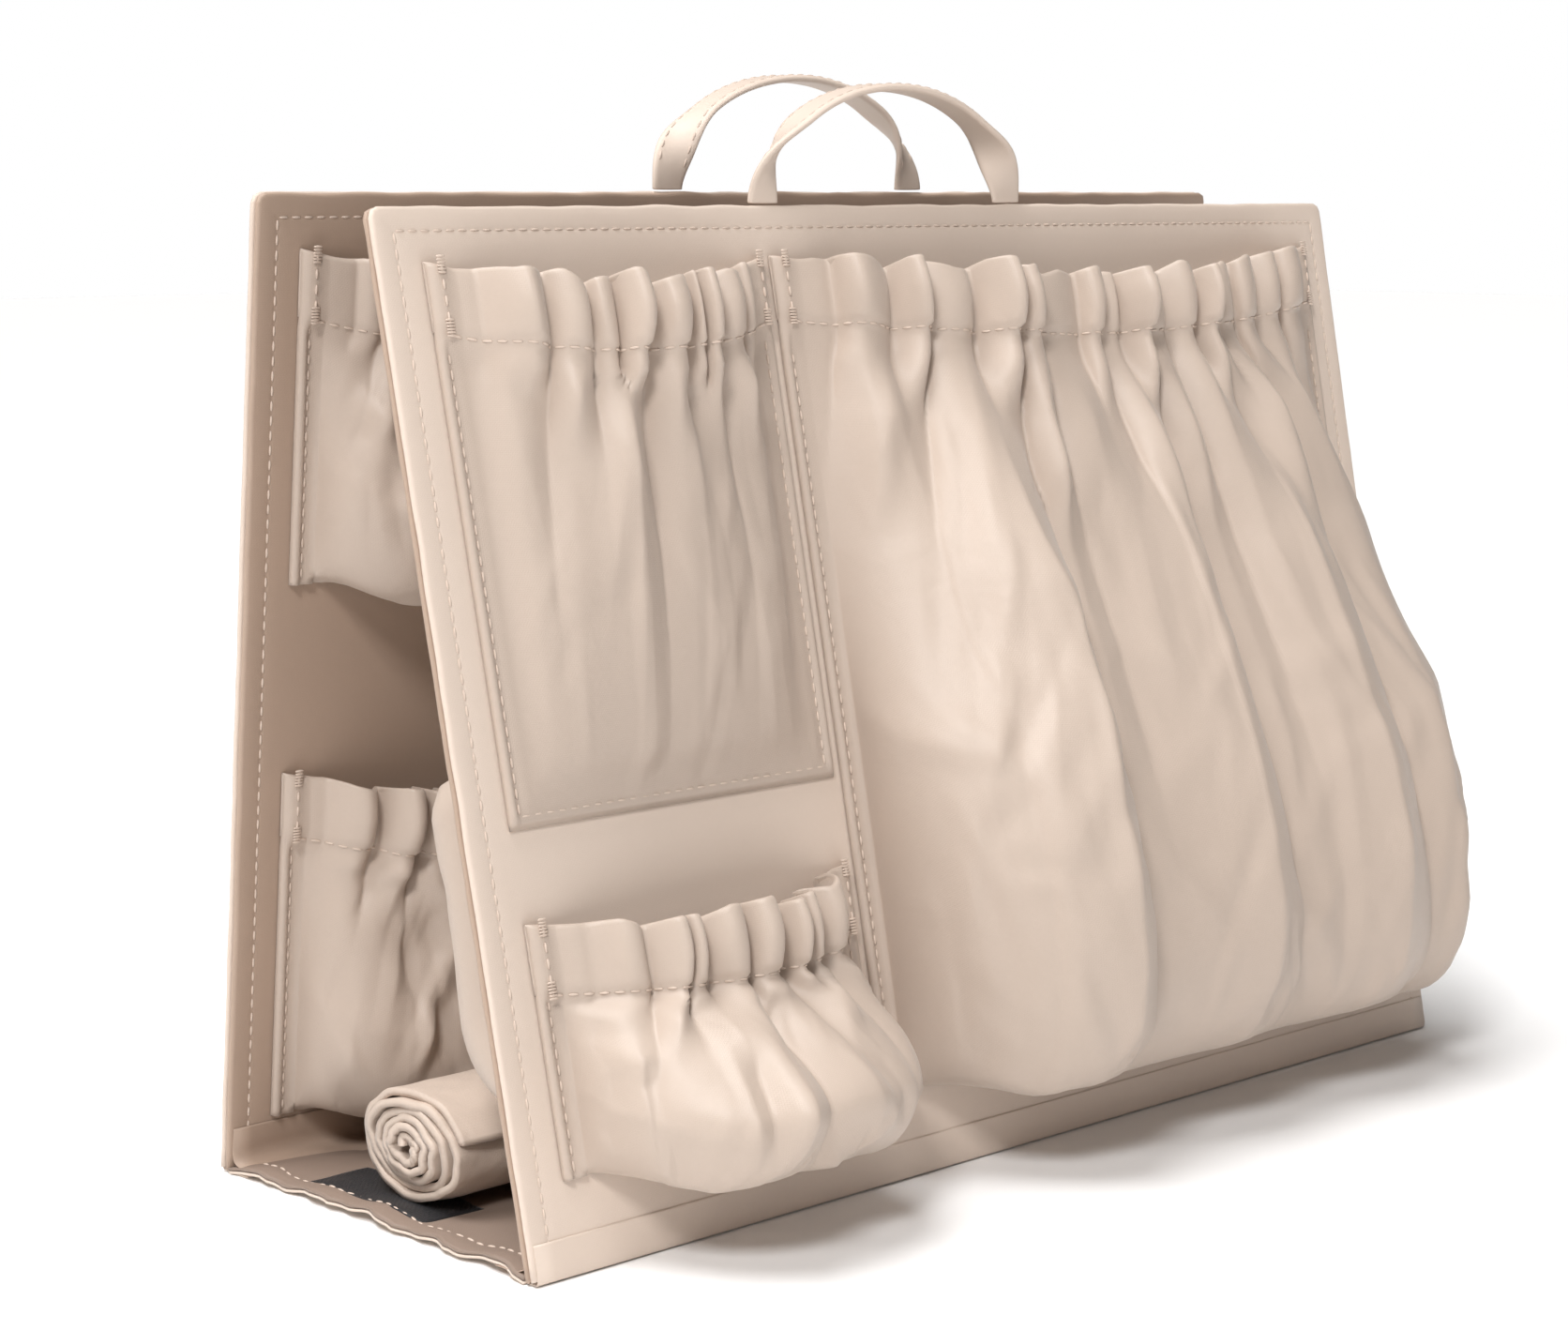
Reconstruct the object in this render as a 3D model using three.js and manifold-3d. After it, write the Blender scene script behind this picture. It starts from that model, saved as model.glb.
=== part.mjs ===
// Tote organizer insert: two stiff cloth-covered panels that lean together over a soft base,
// with gathered elastic-top pockets on their faces, a grab handle on each rim and a rolled mat inside.
// Millimetres, +Z up, X along the width, front towards -Y, origin on the floor under the middle of the base.
import * as THREE from "three";
import { mergeVertices } from "three/addons/utils/BufferGeometryUtils.js";
import Module from "manifold-3d";

const wasm = await Module();
wasm.setup();

// Panels
const PANEL_TOP_WIDTH = 334;
const PANEL_BOTTOM_WIDTH = 326;
const PANEL_HEIGHT = 235;
const CORNER_RADIUS = 2.5;
const PLY = 0.8;
const BOARD_THICKNESS = 1.4;
const HEM_WIDTH = 6;
const FRONT_LEAN = 11.6;
const BACK_LEAN = 6.8;

// Base
const BASE_DEPTH = 120;
const BASE_PLY = 0.7;
const FOLD_HEIGHT = 1.2;

// Clearances between touching pieces, and between a seam's two sides
const GAP = 0.3;
const SEAM_GAP = 2.5;

// Handles
const STRAP_WIDTH = 10;
const STRAP_THICKNESS = 1.4;
const HANDLE_SPAN = 86;
const HANDLE_RISE = 29;
const HANDLE_TWIST_SHARE = 0.22;
const STRAP_CLEARANCE = 0.6;
const FRONT_HANDLE_OFFSET = -6;
const BACK_HANDLE_OFFSET = 0;

// Pocket cloth, casings and elastics
const CLOTH = 1.0;
const CASING_PLY = 0.7;
const CASING_HEIGHT = 17;
const CASING_HALF_DEPTH = 2.0;
const ELASTIC_THICKNESS = 1.0;
const ELASTIC_HEIGHT = 11;
const FLANGE = 5;
const GATHER_DEPTH = 3.2;

// Folds of the pocket cloth: their depth below the casing, on the belly and on a flat pocket
const OUTER_FOLD_DEPTH = 7.5;
const INNER_FOLD_DEPTH = 4.5;
const BELLY_FOLD_DEPTH = 2.5;
const FLAT_FOLD_DEPTH = 4;

// Where each fold ends, as a share of the pocket's width, and how tall it stands beside the tallest
const NARROW_FOLD_SHARES = [[0.24, 0.6], [0.47, 1], [0.7, 0.75], [1, 0.55]];
const WIDE_FOLD_SHARES = [[0.13, 0.55], [0.27, 0.95], [0.4, 0.6], [0.52, 1], [0.66, 0.7], [0.82, 0.9],
  [1, 0.55]];
const FULL_FOLD_SHARES = [[0.1, 0.5], [0.2, 0.9], [0.31, 0.6], [0.43, 1], [0.54, 0.7], [0.66, 0.95],
  [0.78, 0.6], [0.9, 0.9], [1, 0.5]];

// Pocket sizes: how far the belly and the mouth stand off the panel, how far the mouth and the belly hang,
// how far a boxed side swells out and how far from the flange the bag is full
const FLAT_POCKET_DEPTH = 13;
const FLAT_POCKET_MOUTH = 17;
const FLAT_POCKET_SAG = 8;
const FLAT_POCKET_FOOT = 2.2;
const FLAT_EDGE_RISE = 14;
const SMALL_POCKET_DEPTH = 42;
const SMALL_POCKET_MOUTH = 17;
const SMALL_POCKET_SAG = 4;
const SMALL_POCKET_DROOP = 7;
const SMALL_POCKET_SWELL = 4;
const LARGE_POCKET_DEPTH = 46;
const LARGE_POCKET_MOUTH = 17;
const LARGE_POCKET_SAG = 9;
const LARGE_POCKET_DROOP = 4;
const LARGE_POCKET_SWELL = 7;
const BACK_LARGE_DEPTH = 21;
const BACK_LARGE_SWELL = 0;
const INNER_UPPER_DEPTH = 25;
const INNER_UPPER_MOUTH = 16;
const INNER_UPPER_SAG = 6;
const INNER_UPPER_DROOP = 4;
const INNER_UPPER_SWELL = 4;
const INNER_LOWER_DEPTH = 31;
const INNER_LOWER_MOUTH = 17;
const INNER_LOWER_SAG = 5;
const INNER_LOWER_DROOP = 2;
const INNER_LOWER_SWELL = 5;
const INNER_LARGE_DEPTH = 31;
const INNER_LARGE_MOUTH = 16;
const INNER_LARGE_SAG = 8;
const INNER_LARGE_DROOP = 2;
const INNER_LARGE_SWELL = 3;
const INNER_FRONT_DEPTH = 36;
const INNER_FRONT_MOUTH = 18;
const INNER_FRONT_SAG = 7;
const INNER_FRONT_DROOP = 5;
const INNER_FRONT_SWELL = 3.5;
const OUTER_CORNER_RISE = 22;
const INNER_CORNER_RISE = 16;
const FULL_WIDTH_CORNER_RISE = 11;

// Where the pockets sit on a panel
const SIDE_MARGIN = 11.5;
const TOP_MARGIN = 11;
const NARROW_POCKET_WIDTH = 101;
const OUTER_BOTTOM_MARGIN = 20;
const UPPER_POCKET_HEIGHT = 127;
const LOWER_POCKET_HEIGHT = 58;
const INNER_BOTTOM_MARGIN = 12;
const INNER_UPPER_HEIGHT = 80;
const INNER_LOWER_HEIGHT = 88;
const INNER_FRONT_BOTTOM = 34;
const INNER_FRONT_HEIGHT = 116;

// Rolled mat and label
const MAT_WIDTH = 290;
const MAT_END_INSET = 12;
const ROLL_HALF_WIDTH = 20;
const ROLL_HALF_HEIGHT = 13.5;
const ROLL_CORE = 3;
const ROLL_TURNS = 5;
const MAT_FILL = 0.7;
const LABEL_LENGTH = 45;
const LABEL_WIDTH = 18;
const LABEL_THICKNESS = 0.5;
const LABEL_INSET = 6;
const LABEL_OFFSET = 10;

// Derived sizes
const CAVITY = BOARD_THICKNESS + 2 * GAP;
const PANEL_THICKNESS = 2 * PLY + CAVITY;
const HEM_PLY = (CAVITY - GAP) / 2;
const POCKET_TOP = PANEL_HEIGHT - TOP_MARGIN;
const BASE_TOP = 2 * BASE_PLY + GAP;
const radians = THREE.MathUtils.degToRad;

// Finishes
const finish = (color, roughness) => new THREE.MeshStandardMaterial({ color, roughness, metalness: 0 });
const COVER_CLOTH = finish(0xc9b5a1, 0.55);
const POCKET_CLOTH = finish(0xd3c0ad, 0.45);
const LINING_CLOTH = finish(0xb79d8b, 0.55);
const BOARD_STOCK = finish(0x8f8a83, 0.8);
const ELASTIC_BAND = finish(0xe6ddd2, 0.9);
const LABEL_CLOTH = finish(0x17161a, 0.7);

function named(name, geometry, material) {
  const mesh = new THREE.Mesh(geometry, material);
  mesh.name = name;
  return mesh;
}

// Closed meshes from points and triangles, and booleans between them

function signedVolume(points, triangles) {
  const cross = new THREE.Vector3();
  const corner = ([a, b, c]) => points[a].dot(cross.crossVectors(points[b], points[c])) / 6;
  return triangles.reduce((sum, triangle) => sum + corner(triangle), 0);
}

function closedGeometry(points, triangles) {
  const inward = signedVolume(points, triangles) < 0;
  const geometry = new THREE.BufferGeometry().setFromPoints(points);
  geometry.setIndex(triangles.flatMap(([a, b, c]) => (inward ? [a, c, b] : [a, b, c])));
  geometry.computeVertexNormals();
  return geometry;
}

function toSolid(geometry) {
  const bare = geometry.clone();
  bare.deleteAttribute("normal");
  bare.deleteAttribute("uv");
  const merged = mergeVertices(bare, 1e-4);
  return new wasm.Manifold(new wasm.Mesh({
    numProp: 3,
    vertProperties: new Float32Array(merged.attributes.position.array),
    triVerts: new Uint32Array(merged.index.array),
  }));
}

function fromSolid(solid) {
  const mesh = solid.getMesh();
  const geometry = new THREE.BufferGeometry();
  geometry.setAttribute("position", new THREE.BufferAttribute(new Float32Array(mesh.vertProperties), 3));
  geometry.setIndex(new THREE.BufferAttribute(new Uint32Array(mesh.triVerts), 1));
  geometry.computeVertexNormals();
  return geometry;
}

function cut(geometry, ...tools) {
  return fromSolid(tools.reduce((solid, tool) => solid.subtract(toSolid(tool)), toSolid(geometry)));
}

// A sheet of even thickness: pointAt(u, v) gives one face, and the other lies off it along the surface normal.
function thickSheet(pointAt, across, down, offset) {
  const STEP = 1e-3;
  const points = [];
  const faceAt = (side, i, j) => side * (across + 1) * (down + 1) + i * (down + 1) + j;
  const grid = [];
  for (let i = 0; i <= across; i++) {
    for (let j = 0; j <= down; j++) grid.push(pointAt(i / across, j / down));
  }
  for (let i = 0; i <= across; i++) {
    for (let j = 0; j <= down; j++) {
      const [u, v] = [i / across, j / down];
      const alongU = pointAt(Math.min(u + STEP, 1), v).sub(pointAt(Math.max(u - STEP, 0), v));
      const before = grid[faceAt(0, i, Math.max(j - 1, 0))];
      const after = grid[faceAt(0, i, Math.min(j + 1, down))];
      const normal = alongU.cross(after.clone().sub(before)).normalize();
      points.push(normal.multiplyScalar(offset).add(grid[faceAt(0, i, j)]));
    }
  }
  const triangles = [];
  const quad = (a, b, c, d) => triangles.push([a, b, c], [a, c, d]);
  for (let i = 0; i < across; i++) {
    for (let j = 0; j < down; j++) {
      quad(faceAt(0, i, j), faceAt(0, i + 1, j), faceAt(0, i + 1, j + 1), faceAt(0, i, j + 1));
      quad(faceAt(1, i, j), faceAt(1, i, j + 1), faceAt(1, i + 1, j + 1), faceAt(1, i + 1, j));
    }
  }
  for (let i = 0; i < across; i++) {
    quad(faceAt(0, i, 0), faceAt(1, i, 0), faceAt(1, i + 1, 0), faceAt(0, i + 1, 0));
    quad(faceAt(0, i, down), faceAt(0, i + 1, down), faceAt(1, i + 1, down), faceAt(1, i, down));
  }
  for (let j = 0; j < down; j++) {
    quad(faceAt(0, 0, j), faceAt(0, 0, j + 1), faceAt(1, 0, j + 1), faceAt(1, 0, j));
    quad(faceAt(0, across, j), faceAt(1, across, j), faceAt(1, across, j + 1), faceAt(0, across, j + 1));
  }
  return closedGeometry([...grid, ...points], triangles);
}

// A loft through four-cornered rings, closed at both ends
function loftedBand(rings) {
  const triangles = [];
  const quad = (a, b, c, d) => triangles.push([a, b, c], [a, c, d]);
  for (let i = 0; i + 1 < rings.length; i++) {
    for (let k = 0; k < 4; k++) {
      const next = (k + 1) % 4;
      quad(4 * i + k, 4 * i + next, 4 * i + 4 + next, 4 * i + 4 + k);
    }
  }
  const last = 4 * (rings.length - 1);
  quad(3, 2, 1, 0);
  quad(last, last + 1, last + 2, last + 3);
  return closedGeometry(rings.flat(), triangles);
}

// Panels: cover, board and lining, drawn upright with the outer face at y = 0

const halfWidthAt = (height) =>
  THREE.MathUtils.lerp(PANEL_BOTTOM_WIDTH, PANEL_TOP_WIDTH, height / PANEL_HEIGHT) / 2;

function panelOutline(inset) {
  const radius = Math.max(CORNER_RADIUS - inset, 0.5);
  const [low, high] = [inset, PANEL_HEIGHT - inset];
  const [wide, narrow] = [halfWidthAt(high) - inset, halfWidthAt(low) - inset];
  const outline = new THREE.Shape();
  outline.moveTo(-narrow, low);
  outline.lineTo(narrow, low);
  outline.lineTo(wide, high - radius);
  outline.absarc(wide - radius, high - radius, radius, 0, Math.PI / 2, false);
  outline.absarc(radius - wide, high - radius, radius, Math.PI / 2, Math.PI, false);
  outline.closePath();
  return outline;
}

function slab(outline, start, thickness) {
  const options = { depth: thickness, bevelEnabled: false, curveSegments: 4 };
  const geometry = new THREE.ExtrudeGeometry(outline, options);
  return geometry.rotateX(Math.PI / 2).translate(0, start + thickness, 0);
}

function block(width, depth, height, x, y, z) {
  return new THREE.BoxGeometry(width, depth, height).translate(x, y, z);
}

// A cloth face with its edge turned in all round, and a notch in the turning where each strap end is sewn in
function hemmedFace(start, hemStart, strapCentres) {
  const depth = PLY + HEM_PLY;
  const notches = strapCentres.map((x) =>
    block(STRAP_WIDTH + 2 * GAP, HEM_PLY, 2 * HEM_WIDTH, x, hemStart + HEM_PLY / 2, PANEL_HEIGHT));
  const hemHollow = slab(panelOutline(HEM_WIDTH), hemStart, HEM_PLY);
  return cut(slab(panelOutline(0), start, depth), hemHollow, ...notches);
}

function panelPieces(side, handleOffset) {
  const strapCentres = [handleOffset - HANDLE_SPAN / 2, handleOffset + HANDLE_SPAN / 2];
  const liningStart = PANEL_THICKNESS - PLY - HEM_PLY;
  const tabHeight = HEM_WIDTH - GAP;
  const tab = (x) =>
    block(STRAP_WIDTH, STRAP_THICKNESS, tabHeight, x, PANEL_THICKNESS / 2, PANEL_HEIGHT - tabHeight / 2);
  return [
    named(`${side}_panel_cover`, hemmedFace(0, PLY, strapCentres), COVER_CLOTH),
    named(`${side}_panel_board`, slab(panelOutline(HEM_WIDTH + GAP), PLY + GAP, BOARD_THICKNESS), BOARD_STOCK),
    named(`${side}_panel_lining`, hemmedFace(liningStart, liningStart, strapCentres), LINING_CLOTH),
    named(`${side}_handle_left_tab`, tab(strapCentres[0]), COVER_CLOTH),
    named(`${side}_handle_right_tab`, tab(strapCentres[1]), COVER_CLOTH),
  ];
}

// Handle: a flat strap that leaves the rim in the panel's plane and turns a quarter to lie across the arch
function handleLoop(side, handleOffset) {
  const STEPS = 32;
  const rings = [];
  for (let i = 0; i <= STEPS; i++) {
    const share = i / STEPS;
    const angle = Math.PI * share;
    const fromEnd = Math.min(share, 1 - share);
    const twist = (Math.PI / 2) * THREE.MathUtils.smoothstep(fromEnd, 0, HANDLE_TWIST_SHARE);
    const centre = new THREE.Vector3(-Math.cos(angle) * HANDLE_SPAN / 2, 0, Math.sin(angle) * HANDLE_RISE);
    const tangent = new THREE.Vector3((Math.sin(angle) * HANDLE_SPAN) / 2, 0, Math.cos(angle) * HANDLE_RISE);
    tangent.normalize();
    const radial = new THREE.Vector3(tangent.z, 0, -tangent.x);
    const across = radial.multiplyScalar(Math.cos(twist)).add(new THREE.Vector3(0, Math.sin(twist), 0));
    const through = new THREE.Vector3().crossVectors(tangent, across);
    across.multiplyScalar(STRAP_WIDTH / 2);
    through.multiplyScalar(STRAP_THICKNESS / 2);
    rings.push([[-1, -1], [1, -1], [1, 1], [-1, 1]].map(([a, t]) =>
      centre.clone().addScaledVector(across, a).addScaledVector(through, t)));
  }
  const loop = named(`${side}_handle`, loftedBand(rings), COVER_CLOTH);
  loop.position.set(handleOffset, PANEL_THICKNESS / 2, PANEL_HEIGHT + STRAP_CLEARANCE);
  return loop;
}

// Pockets: OUTER ones stand off the panel's cover towards -y, INNER ones off its lining towards +y
const OUTER = -1;
const INNER = 1;

const steepness = (share) => Math.sin((Math.PI / 2) * THREE.MathUtils.clamp(share, 0, 1));

// The height of the folds across a pocket, from 0 in a valley to 1 on the tallest ridge
function foldWave(folds, u) {
  const last = folds.findIndex(([end]) => u <= end);
  const [end, tall] = folds[last];
  const start = last > 0 ? folds[last - 1][0] : 0;
  return tall * Math.sin((Math.PI * (u - start)) / (end - start)) ** 1.15;
}

// The columns of a pocket's surface: close together where a side fills out, then four to a fold
function columnStations(folds, rise, width) {
  const side = [0, FLANGE, ...[0.2, 0.45, 0.7, 1].map((share) => FLANGE + share * rise)].map((x) => x / width);
  const edge = side[side.length - 1];
  const ends = [0, ...folds.map(([end]) => end)];
  const quarters = folds.flatMap(([end], i) => [0.25, 0.5, 0.75, 1].map((t) => ends[i] + t * (end - ends[i])));
  const NEAREST = 0.02;
  const middle = quarters.filter((u) => u > edge + NEAREST && u < 1 - edge - NEAREST);
  return [...side, ...middle, ...side.map((u) => 1 - u).reverse()];
}

// The shapes that a pocket's bag, casing and elastic share, in panel coordinates
function pocketForm(spec) {
  const { face, edges, top, mouth, sag, folds, rise } = spec;
  const depthAt = (off) => (face === OUTER ? -off : PANEL_THICKNESS + off);
  const onPanel = (x, off, height) => new THREE.Vector3(x, depthAt(off), height);
  const xAt = (u, height) => THREE.MathUtils.lerp(edges.left(height), edges.right(height), u);
  const width = edges.right(top) - edges.left(top);
  const stations = columnStations(folds, rise, width);
  const across = stations.length - 1;
  const spread = (step) => {
    const column = Math.min(Math.floor(step * across), across - 1);
    return THREE.MathUtils.lerp(stations[column], stations[column + 1], step * across - column);
  };
  const fromSide = (u) => Math.min(u, 1 - u) * width - FLANGE;
  const riseAt = (v) => THREE.MathUtils.lerp(0.4 * width, rise, Math.min(2 * v, 1));
  const fullness = (u, v) => steepness(fromSide(u) / riseAt(v));
  const onFlange = (u) => Math.min(1, 40 * fullness(u, 1));
  const fill = (u, v) => THREE.MathUtils.lerp(1, fullness(u, v), Math.min(6 * v, 1)) * onFlange(u);
  const reach = (u) => THREE.MathUtils.clamp(fromSide(u) / rise, 0, 1);
  const wave = (u) => foldWave(folds, u);
  const mouthLine = (u) => top - CASING_HEIGHT - sag * (1 - (2 * u - 1) ** 2);
  const seat = CASING_HALF_DEPTH + GAP;
  const mouthRest = (u) => seat + (mouth - seat) * fullness(u, 0);
  const gather = (u) => GATHER_DEPTH * (wave(u) - 0.35) * reach(u);
  const mouthDepth = (u) => mouthRest(u) + gather(u);
  const shapes = { onPanel, xAt, spread, fill, reach, wave, mouthLine, mouthRest, gather, mouthDepth };
  return { ...spec, across, ...shapes };
}

// A boxed bag hangs from the casing, fills out to its belly and folds back under to the bottom seam
function boxedBag(form) {
  const { bottom, depth, droop, swell, foldDepth, fill, reach, wave, gather, mouthLine, mouthRest } = form;
  return (u, v) => {
    const rim = mouthLine(u) - GAP - 0.8 * CLOTH;
    const drop = rim - bottom;
    const start = mouthRest(u) + CASING_HALF_DEPTH - CASING_PLY;
    const side = new THREE.SplineCurve([
      new THREE.Vector2(start, rim),
      new THREE.Vector2(THREE.MathUtils.lerp(start, depth, 0.5), bottom + 0.66 * drop),
      new THREE.Vector2(0.97 * depth, bottom + 0.3 * drop),
      new THREE.Vector2(0.95 * depth, bottom + 0.08 * drop),
      new THREE.Vector2(0.66 * depth, bottom - droop),
      new THREE.Vector2(0.26 * depth, bottom - 0.6 * droop),
      new THREE.Vector2(GAP + CLOTH, bottom),
    ]).getPointAt(v);
    const full = fill(u, v);
    const low = THREE.MathUtils.smoothstep(v, 0.35, 0.8);
    const foot = 1 - THREE.MathUtils.smoothstep(v, 0.85, 1);
    const fold = THREE.MathUtils.lerp(foldDepth, BELLY_FOLD_DEPTH, low) * (wave(u) - 0.35) * reach(u) * foot;
    const folds = THREE.MathUtils.lerp(gather(u), fold, THREE.MathUtils.smoothstep(v, 0, 0.12));
    const out = Math.sign(u - 0.5) * swell * Math.min(3 * v, 1) * Math.sin(Math.PI * reach(u));
    const height = THREE.MathUtils.lerp(rim - v * drop, side.y, full);
    return { out, off: GAP + (side.x - GAP + folds) * full, height };
  };
}

// A flat bag is sewn down all round, and stands off the panel most below its mouth
function flatBag(form) {
  const { bottom, depth, fill, reach, wave, gather, mouthLine, mouthRest } = form;
  return (u, v) => {
    const rim = mouthLine(u) - GAP - 0.8 * CLOTH;
    const drop = rim - bottom;
    const start = mouthRest(u) + CASING_HALF_DEPTH - CASING_PLY;
    const belly = 0.45 * depth * Math.sin(Math.PI * v) ** 1.2;
    const rest = THREE.MathUtils.lerp(start, FLAT_POCKET_FOOT, v ** 1.2) + belly;
    const full = fill(u, v);
    const fold = FLAT_FOLD_DEPTH * (1 - v) ** 1.2 * (wave(u) - 0.35) * reach(u);
    const folds = THREE.MathUtils.lerp(gather(u), fold, THREE.MathUtils.smoothstep(v, 0, 0.12));
    const foot = steepness(((1 - v) * drop) / FLAT_EDGE_RISE);
    return { out: 0, off: GAP + (rest - GAP + folds) * full * foot, height: rim - v * drop };
  };
}

function pocketBag(form) {
  const DOWN = 8;
  const { onPanel, xAt, spread } = form;
  const shape = form.flat ? flatBag(form) : boxedBag(form);
  const pointAt = (step, v) => {
    const u = spread(step);
    const { out, off, height } = shape(u, v);
    return onPanel(xAt(u, height) + out, off, height);
  };
  return thickSheet(pointAt, form.across, DOWN, form.face * CLOTH);
}

// The casing is the top of the cloth folded over the elastic, open underneath where the bag is stitched on
function pocketCasing(form) {
  const { onPanel, xAt, spread, mouthLine, mouthDepth } = form;
  const section = [[1, 0], [1, CASING_HEIGHT], [-1, CASING_HEIGHT], [-1, 0]];
  const pointAt = (step, v) => {
    const u = spread(step);
    const [sideways, rise] = section[Math.round(v * (section.length - 1))];
    const height = mouthLine(u) + rise;
    return onPanel(xAt(u, height), mouthDepth(u) + sideways * CASING_HALF_DEPTH, height);
  };
  return thickSheet(pointAt, form.across, section.length - 1, form.face * CASING_PLY);
}

function pocketElastic(form) {
  const { onPanel, xAt, spread, mouthLine, mouthDepth, across } = form;
  const lift = (CASING_HEIGHT - ELASTIC_HEIGHT) / 2;
  const corners = [[-1, 0], [1, 0], [1, 1], [-1, 1]];
  const rings = [];
  for (let i = 0; i <= across; i++) {
    const u = spread(i / across);
    rings.push(corners.map(([sideways, up]) => {
      const height = mouthLine(u) + lift + up * ELASTIC_HEIGHT;
      return onPanel(xAt(u, height), mouthDepth(u) + sideways * ELASTIC_THICKNESS / 2, height);
    }));
  }
  return loftedBand(rings);
}

function pocketPieces(spec) {
  const form = pocketForm(spec);
  return [
    named(`${spec.name}_bag`, pocketBag(form), POCKET_CLOTH),
    named(`${spec.name}_casing`, pocketCasing(form), POCKET_CLOTH),
    named(`${spec.name}_elastic`, pocketElastic(form), ELASTIC_BAND),
  ];
}

// Side seams of the pockets follow the panel's slanting edges; the column seam stands upright.
const leftSeam = (height) => SIDE_MARGIN - halfWidthAt(height);
const rightSeam = (height) => halfWidthAt(height) - SIDE_MARGIN;
const columnSeam = () => leftSeam(POCKET_TOP) + NARROW_POCKET_WIDTH;
const besideColumn = () => columnSeam() + SEAM_GAP;
const mirrored = (seam) => (height) => -seam(height);
const NARROW_LEFT = { left: leftSeam, right: columnSeam };
const WIDE_RIGHT = { left: besideColumn, right: rightSeam };
const NARROW_RIGHT = { left: mirrored(columnSeam), right: rightSeam };
const WIDE_LEFT = { left: leftSeam, right: mirrored(besideColumn) };
const FULL_WIDTH = { left: leftSeam, right: rightSeam };

// The outside of each panel: a flat pocket over a small pouch on the left, and a large pouch beside them
const outerSet = (side, largeDepth, largeSwell) => [
  { name: `${side}_upper_pocket`, face: OUTER, edges: NARROW_LEFT, bottom: POCKET_TOP - UPPER_POCKET_HEIGHT,
    top: POCKET_TOP, depth: FLAT_POCKET_DEPTH, mouth: FLAT_POCKET_MOUTH, sag: FLAT_POCKET_SAG, flat: true,
    rise: OUTER_CORNER_RISE, folds: NARROW_FOLD_SHARES },
  { name: `${side}_lower_pocket`, face: OUTER, edges: NARROW_LEFT, bottom: OUTER_BOTTOM_MARGIN,
    top: OUTER_BOTTOM_MARGIN + LOWER_POCKET_HEIGHT, depth: SMALL_POCKET_DEPTH, mouth: SMALL_POCKET_MOUTH,
    sag: SMALL_POCKET_SAG, droop: SMALL_POCKET_DROOP, swell: SMALL_POCKET_SWELL, foldDepth: OUTER_FOLD_DEPTH,
    rise: OUTER_CORNER_RISE, folds: NARROW_FOLD_SHARES },
  { name: `${side}_large_pocket`, face: OUTER, edges: WIDE_RIGHT, bottom: OUTER_BOTTOM_MARGIN,
    top: POCKET_TOP, depth: largeDepth, mouth: LARGE_POCKET_MOUTH, sag: LARGE_POCKET_SAG,
    droop: LARGE_POCKET_DROOP, swell: largeSwell, foldDepth: OUTER_FOLD_DEPTH,
    rise: OUTER_CORNER_RISE, folds: WIDE_FOLD_SHARES },
];

// The inside of the back panel: two stacked pouches on the photographed end and a large one beside them
const innerBackSet = [
  { name: "inner_upper_pocket", face: INNER, edges: NARROW_RIGHT, bottom: POCKET_TOP - INNER_UPPER_HEIGHT,
    top: POCKET_TOP, depth: INNER_UPPER_DEPTH, mouth: INNER_UPPER_MOUTH, sag: INNER_UPPER_SAG,
    droop: INNER_UPPER_DROOP, swell: INNER_UPPER_SWELL, foldDepth: INNER_FOLD_DEPTH,
    rise: INNER_CORNER_RISE, folds: NARROW_FOLD_SHARES },
  { name: "inner_lower_pocket", face: INNER, edges: NARROW_RIGHT, bottom: INNER_BOTTOM_MARGIN,
    top: INNER_BOTTOM_MARGIN + INNER_LOWER_HEIGHT, depth: INNER_LOWER_DEPTH, mouth: INNER_LOWER_MOUTH,
    sag: INNER_LOWER_SAG, droop: INNER_LOWER_DROOP, swell: INNER_LOWER_SWELL, foldDepth: INNER_FOLD_DEPTH,
    rise: INNER_CORNER_RISE, folds: NARROW_FOLD_SHARES },
  { name: "inner_large_pocket", face: INNER, edges: WIDE_LEFT, bottom: INNER_BOTTOM_MARGIN,
    top: POCKET_TOP, depth: INNER_LARGE_DEPTH, mouth: INNER_LARGE_MOUTH, sag: INNER_LARGE_SAG,
    droop: INNER_LARGE_DROOP, swell: INNER_LARGE_SWELL, foldDepth: INNER_FOLD_DEPTH,
    rise: OUTER_CORNER_RISE, folds: WIDE_FOLD_SHARES },
];

const innerFrontSet = [
  { name: "inner_front_pocket", face: INNER, edges: FULL_WIDTH, bottom: INNER_FRONT_BOTTOM,
    top: INNER_FRONT_BOTTOM + INNER_FRONT_HEIGHT, depth: INNER_FRONT_DEPTH, mouth: INNER_FRONT_MOUTH,
    sag: INNER_FRONT_SAG, droop: INNER_FRONT_DROOP, swell: INNER_FRONT_SWELL, foldDepth: INNER_FOLD_DEPTH,
    rise: FULL_WIDTH_CORNER_RISE, folds: FULL_FOLD_SHARES },
];

// A panel with everything sewn to it leans in from its fold at the base; its handle stands on the rim
function leaningPanel(side, lean, handleOffset, pockets) {
  const panel = new THREE.Group();
  panel.rotation.x = -radians(lean);
  panel.add(...panelPieces(side, handleOffset), ...pockets.flatMap(pocketPieces));
  const handle = handleLoop(side, handleOffset);
  handle.rotation.x = radians(lean);
  panel.add(handle);
  return panel;
}

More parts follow.
